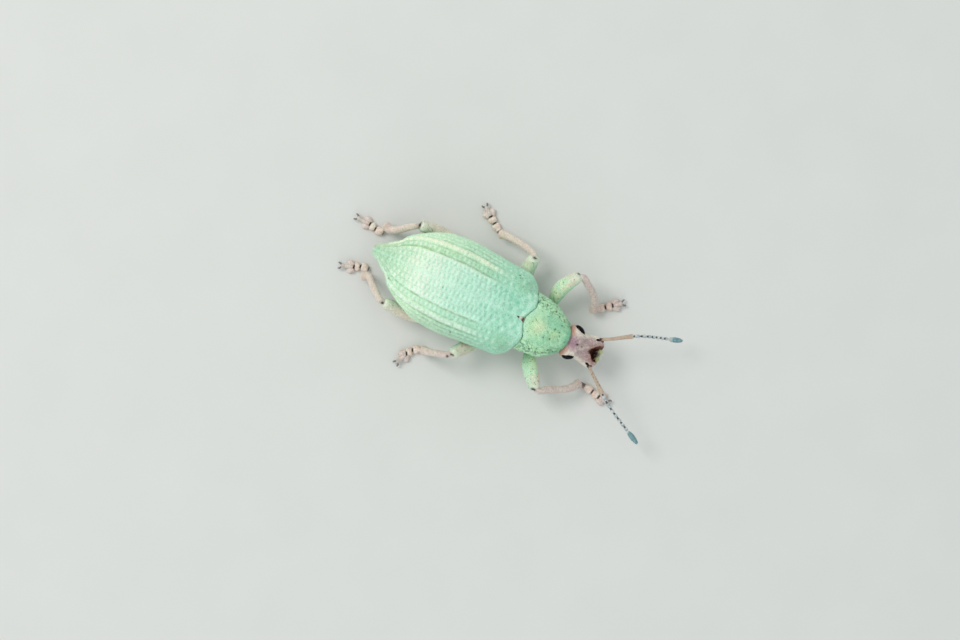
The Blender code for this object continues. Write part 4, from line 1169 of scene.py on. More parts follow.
scutellumS = np.linspace(0.26, -0.22, 40)[:, None]
scutellumAcross = np.linspace(-1, 1, 31)[None]
scutellumZ = through(elytra["topS"], elytra["top"], scutellumS) - 0.012 - 0.03 * scutellumAcross**4 + 0 * scutellumS
scutellumTop = np.stack([
    (scutellumHalf(scutellumS) + 0.02) * scutellumAcross, scutellumS + 0 * scutellumAcross, scutellumZ,
], -1)
scutellumUnder = scutellumTop[:, ::-1] - (0, 0, 0.7)
scutellum = closedGrid(np.concatenate([scutellumTop, scutellumUnder], axis=1))
underBody = bellyRings()
makePiece(
    "underBody", joined([closedGrid(underBody)] + coxaParts(1) + coxaParts(2)), materials["bellySkin"],
    paintBelly, ["hind_thorax", "abdomen"],
)
makePiece("scutellumPlate", scutellum, materials["mintSkin"], paintScutellum)
makePiece("frontCoxae", joined(coxaParts(0)), materials["bellySkin"], linear(170, 196, 160))
print("stage: under body")

# femur, tibia and foot paths; spots on the knee: x, s and reach along each; rosy: share of the femur where pink
# begins; mint: side of the femur that stays mint, edge how strongly; pale: how much lighter the leg is painted,
# painted light for legs in the body's shade
legs = {
    "front_left": {
        "femur": (
            (1.04, 1.27, 0.86), (1.53, 1.21, 1.08), (2.03, 1.25, 1.5),
            (2.53, 1.48, 1.8), (2.98, 1.78, 2.0),
        ),
        "tibia": (
            (3.05, 1.98, 1.95), (2.84, 2.34, 1.7), (2.55, 2.76, 1.3),
            (2.20, 3.03, 0.9), (1.84, 3.19, 0.5),
        ),
        "tarsus": ((2.01, 3.33), (2.24, 3.63), (2.47, 3.92), (2.66, 4.18), (2.88, 4.43)),
        "spots": ((3.12, 1.74, 0.06, 0.085),),
        "rosy": 0.76, "mint": (0.35, 0.94), "edge": 0.7, "pale": 0.0,
    },
    "front_right": {
        "femur": (
            (-1.03, 1.26, 0.86), (-1.46, 1.29, 1.06), (-1.96, 1.54, 1.4),
            (-2.42, 1.89, 1.6), (-2.74, 2.14, 1.7),
        ),
        "tibia": (
            (-2.80, 2.32, 1.65), (-2.57, 2.75, 1.45), (-2.32, 3.27, 1.15),
            (-2.07, 3.69, 0.9), (-1.66, 4.05, 0.5),
        ),
        "tarsus": ((-1.65, 4.38), (-1.74, 4.8), (-1.84, 5.2), (-1.88, 5.5), (-1.89, 5.88)),
        "spots": ((-2.84, 2.12, 0.06, 0.12),),
        "rosy": 0.72, "mint": (0.2, -0.98), "edge": 0.6, "pale": 0.05,
    },
    "middle_left": {
        "femur": (
            (1.22, -0.58, 0.62), (1.64, -0.58, 0.68), (2.14, -0.59, 1.0),
            (2.59, -0.56, 1.38), (2.89, -0.51, 1.6),
        ),
        "tibia": (
            (3.06, -0.67, 1.58), (3.20, -1.14, 1.4), (3.28, -1.70, 1.1),
            (3.31, -2.21, 0.75), (3.29, -2.48, 0.5),
        ),
        "tarsus": ((3.41, -2.66), (3.63, -2.98), (3.85, -3.29), (4.03, -3.52), (4.28, -3.85)),
        "spots": ((2.90, -0.50, 0.06, 0.10),),
        "rosy": 0.95, "mint": (0.0, 1.0), "edge": 0.9, "pale": 0.7,
    },
    "middle_right": {
        "femur": (
            (-1.27, -0.88, 0.56), (-1.62, -1.12, 0.60), (-2.11, -1.5, 1.05),
            (-2.57, -1.85, 1.6), (-2.92, -2.12, 1.95),
        ),
        "tibia": (
            (-3.10, -2.34, 1.9), (-3.25, -2.76, 1.6), (-3.35, -3.12, 1.2),
            (-3.41, -3.38, 0.8), (-3.42, -3.46, 0.5),
        ),
        "tarsus": ((-3.45, -3.66), (-3.63, -3.97), (-3.92, -4.15), (-4.22, -4.28), (-4.66, -4.46)),
        "spots": ((-3.0, -2.12, 0.05, 0.10), (-3.16, -2.3, 0.05, 0.06)),
        "rosy": 0.55, "mint": (0.0, -1.0), "edge": 0.9, "pale": 0.3,
    },
    "hind_left": {
        "femur": (
            (1.14, -3.10, 0.58), (1.66, -3.80, 0.62), (1.98, -4.65, 0.80),
            (2.06, -5.45, 1.25), (1.98, -6.09, 1.75),
        ),
        "tibia": (
            (1.84, -6.34, 1.85), (1.55, -6.76, 1.5), (1.28, -7.14, 1.0),
            (1.18, -7.46, 0.55), (1.27, -7.72, 0.42),
        ),
        "tarsus": ((0.88, -7.72), (0.90, -8.11), (1.01, -8.45), (1.01, -8.75), (1.06, -9.30)),
        "spots": ((2.0, -6.17, 0.14, 0.055),),
        "rosy": 0.35, "mint": (-1.0, 0.0), "edge": 0.4, "pale": 0.6,
    },
    "hind_right": {
        "femur": (
            (-1.14, -3.10, 0.58), (-1.68, -3.80, 0.62), (-2.02, -4.55, 0.80),
            (-2.14, -5.35, 1.25), (-2.13, -6.09, 1.75),
        ),
        "tibia": (
            (-2.09, -6.37, 1.85), (-1.81, -6.76, 1.5), (-1.51, -7.14, 1.0),
            (-1.30, -7.41, 0.55), (-1.42, -7.70, 0.42),
        ),
        "tarsus": ((-0.98, -7.62), (-1.03, -7.99), (-1.20, -8.27), (-1.29, -8.5), (-1.46, -9.02)),
        "spots": ((-2.18, -6.2, 0.055, 0.07),),
        "rosy": 0.35, "mint": (1.0, 0.0), "edge": 0.5, "pale": 0.45,
    },
}
limb = {
    "femurRadii": (0.17, 0.22, 0.31, 0.355, 0.34, 0.30, 0.26),
    "tibiaRadii": (0.12, 0.14, 0.15, 0.15, 0.155, 0.17, 0.23),
    "kneeReach": 0.13,
    "footHeight": 0.30,
    "clawReach": 0.16,
    "lobeLength": 0.36,
    "hipX": {"front": 0.46, "middle": 0.7, "hind": 0.9},
    "jointPast": 0.06,
}
mintLeg, creamLeg, pinkLeg = linear(186, 238, 206), linear(240, 251, 216), linear(238, 224, 206)


def nearestShare(points, line):
    # share of the line's length at its place nearest to each point
    return ((points[:, None, :] - line[None]) ** 2).sum(-1).argmin(axis=1) / (len(line) - 1)


def kneeSpots(colour, leg, points, strength):
    # black marks on the top of the knee
    x, s, z = points.T
    above = z > leg["femur"][-1][2] - 0.02
    for spotX, spotS, reachX, reachS in leg["spots"]:
        colour = mixed(colour, linear(10, 9, 9), strength * dab(x, s, spotX, spotS, reachX, reachS) * above)
    return colour


def femurPaint(leg):
    # the colour depends on the share of the femur's length and on the side of its middle line
    line = alongPath(leg["femur"], np.linspace(0, 1, 60))

    def paint(points):
        # mint at the root and down one side, cream-yellow in the middle, rosy toward the knee, freckled dark green
        share = nearestShare(points, line)
        x, s, z = points.T
        patch = cloud(x + z, s - z, 0.16, 71) + 0.5 * cloud(x + z, s - z, 0.06, 72)
        fine = cloud(x + z, s - z, 0.035, 70)
        # painted light: legs that sit in the body's shade lose their teal root as they are painted lighter
        base = smooth(share, 0.30, 0.08) * 0.9 * (1 - leg["pale"])
        colour = mixed(np.broadcast_to(mintLeg, (len(x), 3)), linear(104, 214, 156), base)
        colour = mixed(colour, creamLeg, smooth(share, 0.12, 0.42) * np.clip(0.75 + 0.4 * patch + 0.2 * fine, 0, 1))
        rosy = smooth(share + 0.16 * patch, leg["rosy"] - 0.10, leg["rosy"] + 0.16)
        colour = mixed(colour, pinkLeg, 0.9 * rosy)
        centreX, centreS = (np.interp(share, np.linspace(0, 1, 60), line[:, axis]) for axis in range(2))
        side = smooth((x - centreX) * leg["mint"][0] + (s - centreS) * leg["mint"][1], 0.0, 0.2)
        colour = mixed(colour, mintLeg, leg["edge"] * side * np.clip(0.9 + 0.5 * patch, 0, 1))
        colour = mixed(colour, linear(218, 238, 216), 0.5 * smooth(share, 0.82, 0.98))
        fleck = cloud(x - z, s + z, 0.055, 73) + 0.4 * cloud(x - z, s + z, 0.024, 74)
        colour = layered(
            colour,
            ((70, 104, 84), smooth(fleck, 0.66, 0.95) * 0.75),
            # painted light: lifts the femur of legs that sit in the body's shade
            ((252, 246, 232), 0.5 * leg["pale"] * smooth(share, 0.1, 0.3)),
        )
        return kneeSpots(colour, leg, points, 1.5)

    return paint


def ankleOf(tibia):
    # a little past the tibia's end, along its last stretch
    return tibia[-1] + unit(tibia[-1] - tibia[-2]) * limb["jointPast"]


def tibiaPaint(leg):
    # the colour depends on the share of the tibia's length
    tibia = np.asarray(leg["tibia"], float)
    ankle = ankleOf(tibia)
    line = alongPath(tibia, np.linspace(0, 1, 60))

    def paint(points):
        # pinkish cream, darker joint at the knee and at the foot, a few freckles
        share = nearestShare(points, line)
        x, s, z = points.T
        patch = cloud(x + z, s - z, 0.13, 75) + 0.5 * cloud(x + z, s - z, 0.05, 76)
        colour = plain(len(x), 214, 190, 188)
        colour = layered(
            colour,
            ((226, 220, 206), np.clip(0.42 + 0.5 * patch, 0, 1)),
            ((204, 172, 156), 0.4 * smooth(share, 0.78, 1.0)),
            # painted light: lifts the tibia of legs that sit in the body's shade
            ((252, 236, 216), 0.6 * leg["pale"]),
        )
        colour = kneeSpots(colour, leg, points, 1.4)
        colour = mixed(colour, linear(50, 34, 30), 0.9 * smooth(np.linalg.norm(points - ankle, axis=1), 0.17, 0.1))
        fleck = cloud(x - z, s + z, 0.06, 77)
        return mixed(colour, linear(110, 98, 92), smooth(fleck, 0.76, 0.94) * 0.35)

    return paint


def footGrid(start, end, widths, heights, around=32, rows=22, blunt=0.35):
    # a segment of the foot: arched above, flat below, ends rounded in plan by a quarter ellipse
    start, end = np.asarray(start, float), np.asarray(end, float)
    length = np.linalg.norm(end - start)
    forward = (end - start) / length
    across = np.array((forward[1], -forward[0]))
    f = 0.5 - 0.5 * np.cos(np.linspace(0, math.pi, rows))
    stations = np.linspace(0, 1, len(widths))
    width, height = through(stations, widths, f), through(stations, heights, f)
    near = np.minimum(f, 1 - f) * length / blunt / np.maximum(width, 0.05)
    cap = np.maximum(np.sqrt(np.clip(1 - (1 - np.clip(near, 0, 1)) ** 2, 0, 1)), 0.04)
    turn = circle(around)
    out = signedPower(np.cos(turn), 0.8)[None] * (width * cap / 2)[:, None]
    tall = np.where(np.sin(turn) > 0, signedPower(np.sin(turn), 0.85), signedPower(np.sin(turn), 0.5))
    middle = 0.34
    rise = np.where(tall > 0, middle + (1 - middle) * tall, middle * (1 + tall))[None]
    z = height[:, None] * (middle + (rise - middle) * np.sqrt(cap)[:, None])
    centre = start + f[:, None] * (end - start)
    flat = centre[:, None] + out[..., None] * across
    return np.concatenate([flat, z[..., None]], axis=2)


def clawPart(path, radii):
    # round rings along the path, the radius eased from root to tip
    rings = limbRings(path, radii, 16, 14, endRound=0.6, startRound=0.6)[0]
    return closedGrid(rings)


def tarsusParts(leg):
    # two pads, two lobes side by side, a stalk up to the shin, a slim last joint and two claws, on the foot's path
    path = np.asarray(leg["tarsus"], float)
    first, second, third, last, tip = path
    tall = limb["footHeight"]
    parts = [
        footGrid(
            first - (second - first) * 0.12, first + (second - first) * 1.02,
            (0.20, 0.30, 0.38, 0.40, 0.34), (0.26, tall, tall * 1.05, tall, 0.24),
        ),
        footGrid(
            second - (third - second) * 0.02, second + (third - second) * 0.98,
            (0.20, 0.30, 0.40, 0.42, 0.34), (0.22, tall, tall * 1.05, tall, 0.24),
        ),
    ]
    ahead = (last - third) / np.linalg.norm(last - third)
    across = np.array((ahead[1], -ahead[0]))
    for sign in (1, -1):
        root = third - ahead * 0.04 + across * sign * 0.07
        end = third + ahead * limb["lobeLength"] + across * sign * 0.19
        parts.append(footGrid(root, end, (0.18, 0.28, 0.35, 0.35, 0.26), (0.22, 0.27, 0.28, 0.24, 0.16)))
    shin = np.asarray(leg["tibia"], float)[-1]
    halfWay = (*(0.6 * shin[:2] + 0.4 * first), 0.5 * shin[2] + 0.11)
    stalk = [shin, halfWay, (*(first * 0.75 + second * 0.25), 0.17)]
    parts.append(limbRings(stalk, (0.12, 0.115, 0.13), 20, 20)[0])
    slim = (tip - last) / np.linalg.norm(tip - last)
    reach = tip - slim * limb["clawReach"]
    joint = [(*(third + ahead * 0.04), 0.24), (*(third * 0.5 + last * 0.5), 0.29), (*last, 0.27), (*reach, 0.25)]
    parts.append(limbRings(joint, (0.065, 0.075, 0.09, 0.12), 30, 20, endRound=0.7)[0])
    side = np.array((slim[1], -slim[0]))
    claws = []
    for sign in (1, -1):
        base = reach - slim * 0.05 + side * sign * 0.05
        mid = reach + slim * 0.07 + side * sign * 0.13
        far = tip - slim * 0.01 + side * sign * 0.14
        claws.append(clawPart(((*base, 0.24), (*mid, 0.24), (*far, 0.10)), (0.05, 0.045, 0.012)))
    return parts, claws


def tarsusPaint(leg):
    # the colour depends on how far a point is from each knot of the foot's path
    path = np.asarray(leg["tarsus"], float)

    def paint(points):
        # cream-pink pads, dark between the segments, greyer on the lobes and browner on the claw segment
        x, s, z = points.T
        colour = plain(len(x), 236, 206, 194)
        patch = cloud(x, s, 0.11, 81) + 0.5 * cloud(x, s, 0.04, 82)
        colour = mixed(colour, linear(236, 230, 214), np.clip(0.35 + 0.6 * patch, 0, 1))
        fore = unit(path[3] - path[2])
        beyond = (x - path[2, 0]) * fore[0] + (s - path[2, 1]) * fore[1]
        colour = layered(
            colour,
            ((204, 190, 190), 0.6 * smooth(beyond, -0.02, 0.1)),
            ((178, 168, 156), 0.7 * smooth(beyond, 0.36, 0.5)),
            # painted light: lifts the foot of legs that sit in the body's shade
            ((250, 240, 226), 0.45 * leg["pale"]),
        )
        toward = unit(path[1] - path[0])
        for joint in path[1:3]:
            along = (x - joint[0]) * toward[0] + (s - joint[1]) * toward[1]
            beside = (x - joint[0]) * toward[1] - (s - joint[1]) * toward[0]
            line = smooth(np.abs(along), 0.055, 0.02) * smooth(np.abs(beside), 0.15, 0.06)
            colour = mixed(colour, linear(24, 20, 22), line * (z > 0.08))
        ankle = (x - path[0, 0]) * toward[0] + (s - path[0, 1]) * toward[1]
        return layered(
            colour,
            ((58, 46, 42), 0.92 * smooth(ankle, 0.02, -0.05) * np.clip(1 + 0.3 * patch, 0.7, 1)),
            ((196, 176, 150), smooth(z, 0.08, 0.03) * 0.8),
        )

    return paint


def clawPaint(points):
    # grey, darker toward the floor
    return mixed(plain(len(points), 120, 116, 116), linear(40, 30, 26), smooth(points[:, 2], 0.2, 0.12))


limbSkins = {}
for name, leg in legs.items():
    femur = np.asarray(leg["femur"], float)
    tibia = np.asarray(leg["tibia"], float)
    hipX = limb["hipX"][name.split("_")[0]] * np.sign(femur[0, 0])
    middleBody = np.array((hipX, femur[0, 1], femur[0, 2]))
    outEnd = unit(femur[-1] - femur[-2])
    kneeEnd = femur[-1] + outEnd * limb["kneeReach"]
    hipEnd = middleBody * 0.3 + femur[0] * 0.7
    femurRings = limbRings([hipEnd, *femur, kneeEnd], limb["femurRadii"], 90, 44)
    thin = 0.012 * cloud(femurRings[0][..., 0] + femurRings[0][..., 2], femurRings[0][..., 1], 0.2, 83)
    femurSkin = femurRings[0] + unit(femurRings[0] - femurRings[1][:, None]) * thin[..., None]
    makePiece(
        "femur_skin_" + name, closedGrid(femurSkin), materials["legSkin"], femurPaint(leg),
        ["femur_" + name],
    )
    tibiaPath = [femur[-1] * 0.85 + tibia[0] * 0.15, *tibia, ankleOf(tibia)]
    tibiaRings = limbRings(tibiaPath, limb["tibiaRadii"], 80, 40, 1.06, 0.5)
    thin = 0.008 * cloud(tibiaRings[0][..., 0] + tibiaRings[0][..., 2], tibiaRings[0][..., 1], 0.15, 84)
    tibiaSkin = tibiaRings[0] + unit(tibiaRings[0] - tibiaRings[1][:, None]) * thin[..., None]
    makePiece(
        "tibia_skin_" + name, closedGrid(tibiaSkin), materials["legSkin"], tibiaPaint(leg),
        ["tibia_" + name],
    )
    footGrids, claws = tarsusParts(leg)
    makePiece(
        "tarsus_pads_" + name, joined([closedGrid(grid) for grid in footGrids]), materials["tarsusSkin"],
        tarsusPaint(leg), ["tarsus_" + name],
    )
    makePiece("claws_" + name, joined(claws), materials["jawShell"], clawPaint)
    limbSkins[name] = (femurSkin, tibiaSkin, footGrids)
print("stage: legs")

# feelers
feelers = {
    "left": {
        "scape": (
            (0.66, 3.99, 1.84), (0.77, 4.14, 1.93), (0.99, 4.54, 2.15),
            (1.31, 5.03, 2.35), (1.52, 5.37, 2.45),
        ),
        "funicle": (
            (1.49, 5.33, 2.45), (1.58, 5.49, 2.45), (1.82, 6.05, 2.2),
            (2.0, 6.57, 1.9), (2.11, 6.94, 1.68),
        ),
        "club": ((2.12, 6.98, 1.66), (2.22, 7.28, 1.53), (2.34, 7.64, 1.4)),
    },
    "right": {
        "scape": (
            (-0.66, 3.99, 1.84), (-0.77, 4.14, 1.90), (-1.10, 4.55, 2.0),
            (-1.42, 4.95, 2.1), (-1.63, 5.22, 2.1),
        ),
        "funicle": (
            (-1.60, 5.17, 2.1), (-1.73, 5.32, 2.1), (-2.06, 5.81, 1.95),
            (-2.36, 6.38, 1.75), (-2.71, 7.07, 1.52),
        ),
        "club": ((-2.73, 7.11, 1.50), (-2.89, 7.42, 1.43), (-3.08, 7.79, 1.35)),
    },
    "scapeRadii": (0.075, 0.065, 0.072, 0.08, 0.092, 0.108),
    "beadShares": (0.0, 0.19, 0.37, 0.50, 0.63, 0.755, 0.88, 1.0),
    "beadBase": 0.042,
    "beadTip": 0.076,
    "clubRadii": (0.05, 0.10, 0.12, 0.115, 0.09, 0.045),
}


def paintScape(points):
    # cream-pink, with the layers below over it
    x, s, z = points.T
    colour = plain(len(x), 196, 164, 146)
    return layered(
        colour,
        ((206, 194, 168), 0.35 + 0.4 * cloud(x, s, 0.12, 91)),
        ((40, 30, 28), smooth(s, 4.14, 4.02)),
        ((54, 44, 42), 0.8 * smooth(cloud(x + z, s, 0.07, 92), 0.7, 0.9)),
    )


def funicleRings(points):
    # seven beads, each a pear: narrow at its root, widest near its tip, on one path
    rows, around = 210, 22
    share = np.linspace(0, 1, rows)
    path = alongPath(points, share)
    bounds = np.array(feelers["beadShares"])
    bead = np.clip(np.searchsorted(bounds, share, side="right") - 1, 0, 6)
    f = (share - bounds[bead]) / (bounds[bead + 1] - bounds[bead])
    swell = np.sin(math.pi * f**1.45) ** 0.6
    radius = feelers["beadBase"] * 0.62 + (feelers["beadTip"] - feelers["beadBase"] * 0.62) * swell
    tangent = unit(np.gradient(path, axis=0))
    side = unit(np.cross(tangent, (0, 0, 1.0)))
    up = np.cross(side, tangent)
    turn = circle(around)
    rings = path[:, None] + (
        np.cos(turn)[None, :, None] * side[:, None] + np.sin(turn)[None, :, None] * up[:, None]
    ) * radius[:, None, None]
    shade = np.repeat(f, around)
    return rings, np.concatenate([shade, [0, 1]])


def paintFunicle(shade, points):
    # black at each joint, blue-grey and white scales on the swollen part
    x, s, z = points.T
    colour = plain(len(x), 158, 172, 182)
    colour = mixed(colour, linear(226, 232, 230), 0.4 + 0.6 * cloud(x + z, s, 0.10, 93))
    dark = np.maximum(smooth(shade, 0.34, 0.2), smooth(shade, 0.88, 0.97))
    return mixed(colour, linear(14, 14, 18), 0.95 * dark)


def paintClub(points):
    # blue-grey, with the layers below over it
    x, s, z = points.T
    colour = plain(len(x), 104, 144, 150)
    return layered(
        colour,
        ((150, 200, 208), 0.35 + 0.4 * cloud(x, s, 0.07, 94)),
        ((190, 198, 196), smooth(s, 7.2, 7.08)),
    )


feelerSkins = {}
for sideName in ("left", "right"):
    paths = feelers[sideName]
    scapeSkin = limbRings(paths["scape"], feelers["scapeRadii"], 70, 28, endRound=0.8)[0]
    makePiece(
        "scape_rod_" + sideName, closedGrid(scapeSkin), materials["feelerSkin"], paintScape,
        ["scape_" + sideName],
    )
    funicleSkin, shade = funicleRings(paths["funicle"])
    beads = closedGrid(funicleSkin)
    makePiece(
        "funicle_beads_" + sideName, beads, materials["feelerSkin"],
        paintFunicle(shade, beads[0]), ["funicle_" + sideName],
    )
    clubRings = limbRings(paths["club"], feelers["clubRadii"], 60, 28, endRound=1.4)
    # two fine rings part the club's segments
    ringed = 1 - 0.10 * bell(np.linspace(0, 1, 60)[:, None, None] - np.array((0.38, 0.66)), 0.02).sum(-1)
    clubSkin = clubRings[1][:, None] + (clubRings[0] - clubRings[1][:, None]) * ringed[..., None]
    makePiece(
        "club_tip_" + sideName, closedGrid(clubSkin), materials["clubVelvet"], paintClub,
        ["club_" + sideName],
    )
    feelerSkins[sideName] = (scapeSkin, funicleSkin, clubSkin)
print("stage: feelers")

# coat
# spacing and length of the scales on each part, in millimetres
coat = {
    "cover": (0.047, 0.066),
    "shield": (0.0515, 0.068),
    "head": (0.038, 0.049),
    "femur": (0.047, 0.062),
    "tibia": (0.040, 0.053),
    "foot": (0.044, 0.046),
    "belly": (0.072, 0.098),
    "feeler": (0.034, 0.042),
    "coverHair": (0.16, 0.10),
    "legHair": (0.10, 0.13),
    "feelerHair": (0.055, 0.07),
    "clubHair": (0.028, 0.05),
    "mouthHair": 0.20,
}


def onGrid(kind, grid, seed, wrap=True, jitter=0.16, closer=1.0):
    # places over the grid at the kind's spacing times closer, and the kind's length
    spacing, length = coat[kind]
    return rowsOver(grid, spacing * closer, seed, wrap, jitter), length


for sideName, sign in (("left", 1), ("right", -1)):
    places, size = onGrid("cover", coverSkins[sideName], 101 + sign, False)
    places = kept(places, (np.abs(places[0][:, 0]) > 0.012) & (places[0][:, 1] > -7.70))
    coatPiece("cover_scales_" + sideName, [scalesOn(places, size, 103)], "mintScale", paintElytra, 104)
    places, length = onGrid("coverHair", coverSkins[sideName], 105 + sign, False, 0.4)
    places = kept(places, (places[0][:, 1] > -7.6) & (np.abs(places[0][:, 0]) > 0.03))
    hairs = hairsOn(places, length, 0.0035, 0.30, 107, 0.12)
    coatPiece("cover_hairs_" + sideName, [hairs], "paleHair", linear(226, 240, 222), 108)
print("stage: wing cover coat")

places, size = onGrid("shield", pronotumGrid[: shieldRows + 1][::-1], 111)
x, s, z = places[0].T
places = kept(places, pitMask(s, x, z) < 0.75)
coatPiece("shield_scales", [scalesOn(places, size, 112)], "mintScale", paintPronotum, 113)

places, size = onGrid("head", headRings[4:][::-1], 121)
bare = inMouth(places[0], 0.03) < 1
for sign in (1, -1):
    for label, grow in (("eye", 0.03), ("scrobe", 0.02)):
        turned = swing(places[0] - np.array(head[label]) * (sign, 1, 1), -head[label + "Turn"] * sign)
        bare |= ((turned / (np.array(head[label + "Radii"]) + grow)) ** 2).sum(-1) < 1
    bare |= np.linalg.norm(places[0] - np.array(head["seat"]) * (sign, 1, 1), axis=1) < head["seatRadius"] + 0.02
bare |= dab(places[0][:, 1], places[0][:, 0], 3.07, 0.0, 0.055, 0.05) > 0.4
coatPiece("head_scales", [scalesOn(kept(places, ~bare), size, 122)], "mintScale", paintHead, 123)

rng = np.random.default_rng(131)
tufts = []
for centreX, centreS, centreZ, wayX in ((0.13, 4.22, 1.70, 0.3), (-0.17, 4.24, 1.66, -0.3)):
    root = np.array((centreX, centreS, centreZ)) + rng.normal(0, 1, (150, 3)) * (0.055, 0.035, 0.05)
    way = unit(np.array((wayX, 0.55, 0.75)) + rng.normal(0, 0.35, (150, 3)))
    uv = np.array((0.25 if centreX > 0 else 0.75, 0.5)) + rng.uniform(-0.2, 0.2, (150, 2))
    upward = np.broadcast_to((0, 0, 1.0), root.shape)
    tufts.append(hairsOn((root, upward, way, uv), coat["mouthHair"], 0.010, 0.15, 132))
coatPiece("mouth_hairs", tufts, "paleHair", linear(236, 240, 196), 133, 0.12)
print("stage: shield and head coat")

places, size = onGrid("belly", underBody[:, 14:-13], 141, False)
places = kept(places, (places[0][:, 2] < 1.75) & (places[0][:, 1] < 0.2))
coatPiece("belly_scales", [scalesOn(places, size, 142)], "mintScale", paintBelly, 143)



def footTile(number):
    # six parts of a foot, three beside one another in two rows; the row above is for the femur and the tibia
    return (number % 3 / 3, number // 3 / 3, 0.32)


for name, leg in legs.items():
    femurSkin, tibiaSkin, footGrids = limbSkins[name]
    parts = [scalesOn(*onGrid("femur", femurSkin[4:-2], 151), 152)]
    coatPiece("femur_scales_" + name, parts, "mintScale", femurPaint(leg), 153)
    parts = [scalesOn(*onGrid("tibia", tibiaSkin[3:-2], 154), 155)]
    coatPiece("tibia_scales_" + name, parts, "mintScale", tibiaPaint(leg), 156)
    parts = []
    for number, grid in enumerate(footGrids):
        places, size = onGrid("foot", grid, 157 + number)
        places = kept(places, places[0][:, 2] > 0.05)
        parts.append(scalesOn(places, size, 163 + number, 0.8, footTile(number)))
    coatPiece("foot_scales_" + name, parts, "mintScale", tarsusPaint(leg), 169)
    places, length = onGrid("legHair", femurSkin[6:-4], 171, True, 0.4, 1.3)
    parts = [hairsOn(places, length * 0.7, 0.0035, 0.35, 172, tile=(0.0, 0.67, 0.32))]
    places, length = onGrid("legHair", tibiaSkin[4:-2], 173, True, 0.4)
    parts.append(hairsOn(places, length, 0.004, 0.5, 174, tile=(0.34, 0.67, 0.32)))
    for number, grid in enumerate(footGrids):
        places, length = onGrid("legHair", grid, 175 + number, True, 0.4, 0.7)
        places = kept(places, (places[0][:, 2] < 0.17) & (places[0][:, 2] > 0.04))
        parts.append(hairsOn(places, length * 0.5, 0.0035, 0.2, 181 + number, tile=footTile(number)))
    coatPiece("leg_hairs_" + name, parts, "paleHair", linear(222, 216, 200), 187)
print("stage: leg coat")

for sideName in ("left", "right"):
    scapeSkin, funicleSkin, clubSkin = feelerSkins[sideName]
    parts = [scalesOn(*onGrid("feeler", scapeSkin[8:-3], 191), 192, 0.8)]
    coatPiece("scape_scales_" + sideName, parts, "mintScale", paintScape, 193)
    places, length = onGrid("feelerHair", funicleSkin, 194, True, 0.4)
    parts = [hairsOn(places, length, 0.0035, 0.6, 195, tile=(0.0, 0.0, 0.49))]
    places, length = onGrid("feelerHair", scapeSkin[8:-3], 196, True, 0.4, 1.3)
    parts.append(hairsOn(places, length, 0.0035, 0.5, 197, tile=(0.5, 0.0, 0.49)))
    coatPiece("feeler_hairs_" + sideName, parts, "paleHair", linear(214, 212, 204), 198)
    parts = [hairsOn(*onGrid("clubHair", clubSkin[3:-2], 199, True, 0.4), 0.004, 0.35, 200)]
    coatPiece("club_hairs_" + sideName, parts, "clubVelvet", paintClub, 201, 0.1)
print("stage: feeler coat")

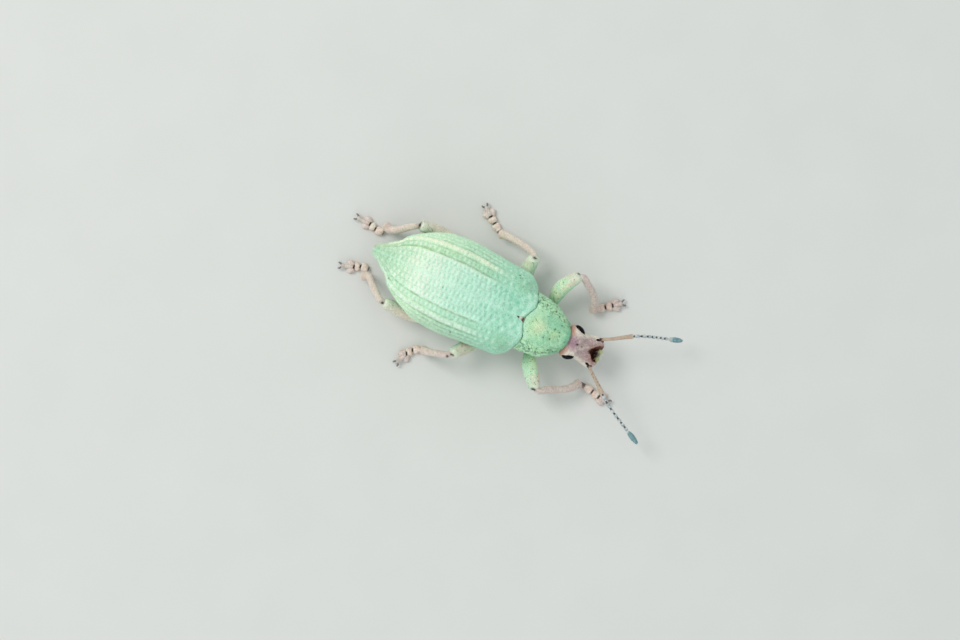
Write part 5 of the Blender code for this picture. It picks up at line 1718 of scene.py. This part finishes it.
# floor, light and camera
studio = {
    "floorHalf": 0.6,
    "cameraHeight": 130.0,
    "aim": (-0.92, -1.62),
    "lens": 100.05,
    "right": (0.427, -0.904),
    # place, size, power and colour of each light
    "keyLight": ((0.02, 0.13, 0.17), 0.09, 0.175, (1.0, 0.985, 0.95)),
    "fillLight": ((-0.16, -0.08, 0.12), 0.14, 0.05, (0.92, 0.97, 1.0)),
    "sky": 0.66,
    "skyColour": (0.93, 0.99, 0.985, 1),
}
floorMesh = bpy.data.meshes.new("paleFloor")
reach = studio["floorHalf"]
floorCorners = [(-reach, -reach, 0), (reach, -reach, 0), (reach, reach, 0), (-reach, reach, 0)]
floorMesh.from_pydata(floorCorners, [], [(0, 1, 2, 3)])
paleFloor = bpy.data.objects.new("paleFloor", floorMesh)
bpy.context.scene.collection.objects.link(paleFloor)
floorFinish = bpy.data.materials.new("paleFloor")
floorFinish.use_nodes = True
floorNodes, floorLinks = floorFinish.node_tree.nodes, floorFinish.node_tree.links
floorPlace = floorNodes.new("ShaderNodeTexCoord").outputs["Object"]
speckle = scaledTexture(floorNodes, floorLinks, "ShaderNodeTexNoise", floorPlace, 300.0)
ramp = floorNodes.new("ShaderNodeValToRGB")
ramp.color_ramp.elements[0].color = (0.70, 0.70, 0.68, 1)
ramp.color_ramp.elements[1].color = (0.74, 0.74, 0.72, 1)
floorLinks.new(speckle.outputs[0], ramp.inputs[0])
floorLinks.new(ramp.outputs[0], floorNodes["Principled BSDF"].inputs["Base Color"])
floorNodes["Principled BSDF"].inputs["Roughness"].default_value = 0.8
floorMesh.materials.append(floorFinish)

world = bpy.data.worlds.new("studioSky")
world.use_nodes = True
world.node_tree.nodes["Background"].inputs["Color"].default_value = studio["skyColour"]
world.node_tree.nodes["Background"].inputs["Strength"].default_value = studio["sky"]
bpy.context.scene.world = world


def addLight(name, place, size, power, colour):
    # a square lamp that faces the middle of the floor
    lamp = bpy.data.lights.new(name, "AREA")
    lamp.size = size
    lamp.energy = power
    lamp.color = colour
    made = bpy.data.objects.new(name, lamp)
    made.location = place
    made.rotation_mode = "QUATERNION"
    made.rotation_quaternion = (-Vector(place)).to_track_quat("-Z", "Y")
    bpy.context.scene.collection.objects.link(made)


for name in ("keyLight", "fillLight"):
    addLight(name, *studio[name])

camera = bpy.data.cameras.new("camera")
camera.type = "PERSP"
camera.lens = studio["lens"]
camera.sensor_width = 36.0
camera.clip_start = 0.002
camera.clip_end = 5.0
cameraObject = bpy.data.objects.new("camera", camera)
aimX, aimS = studio["aim"]
cameraObject.location = ((aimX + middleX) * mm, (middleY - aimS) * mm, studio["cameraHeight"] * mm)
cameraObject.rotation_euler = (0, 0, math.atan2(studio["right"][1], studio["right"][0]))
bpy.context.scene.collection.objects.link(cameraObject)
bpy.context.scene.camera = cameraObject
bpy.context.scene.view_settings.view_transform = "Standard"
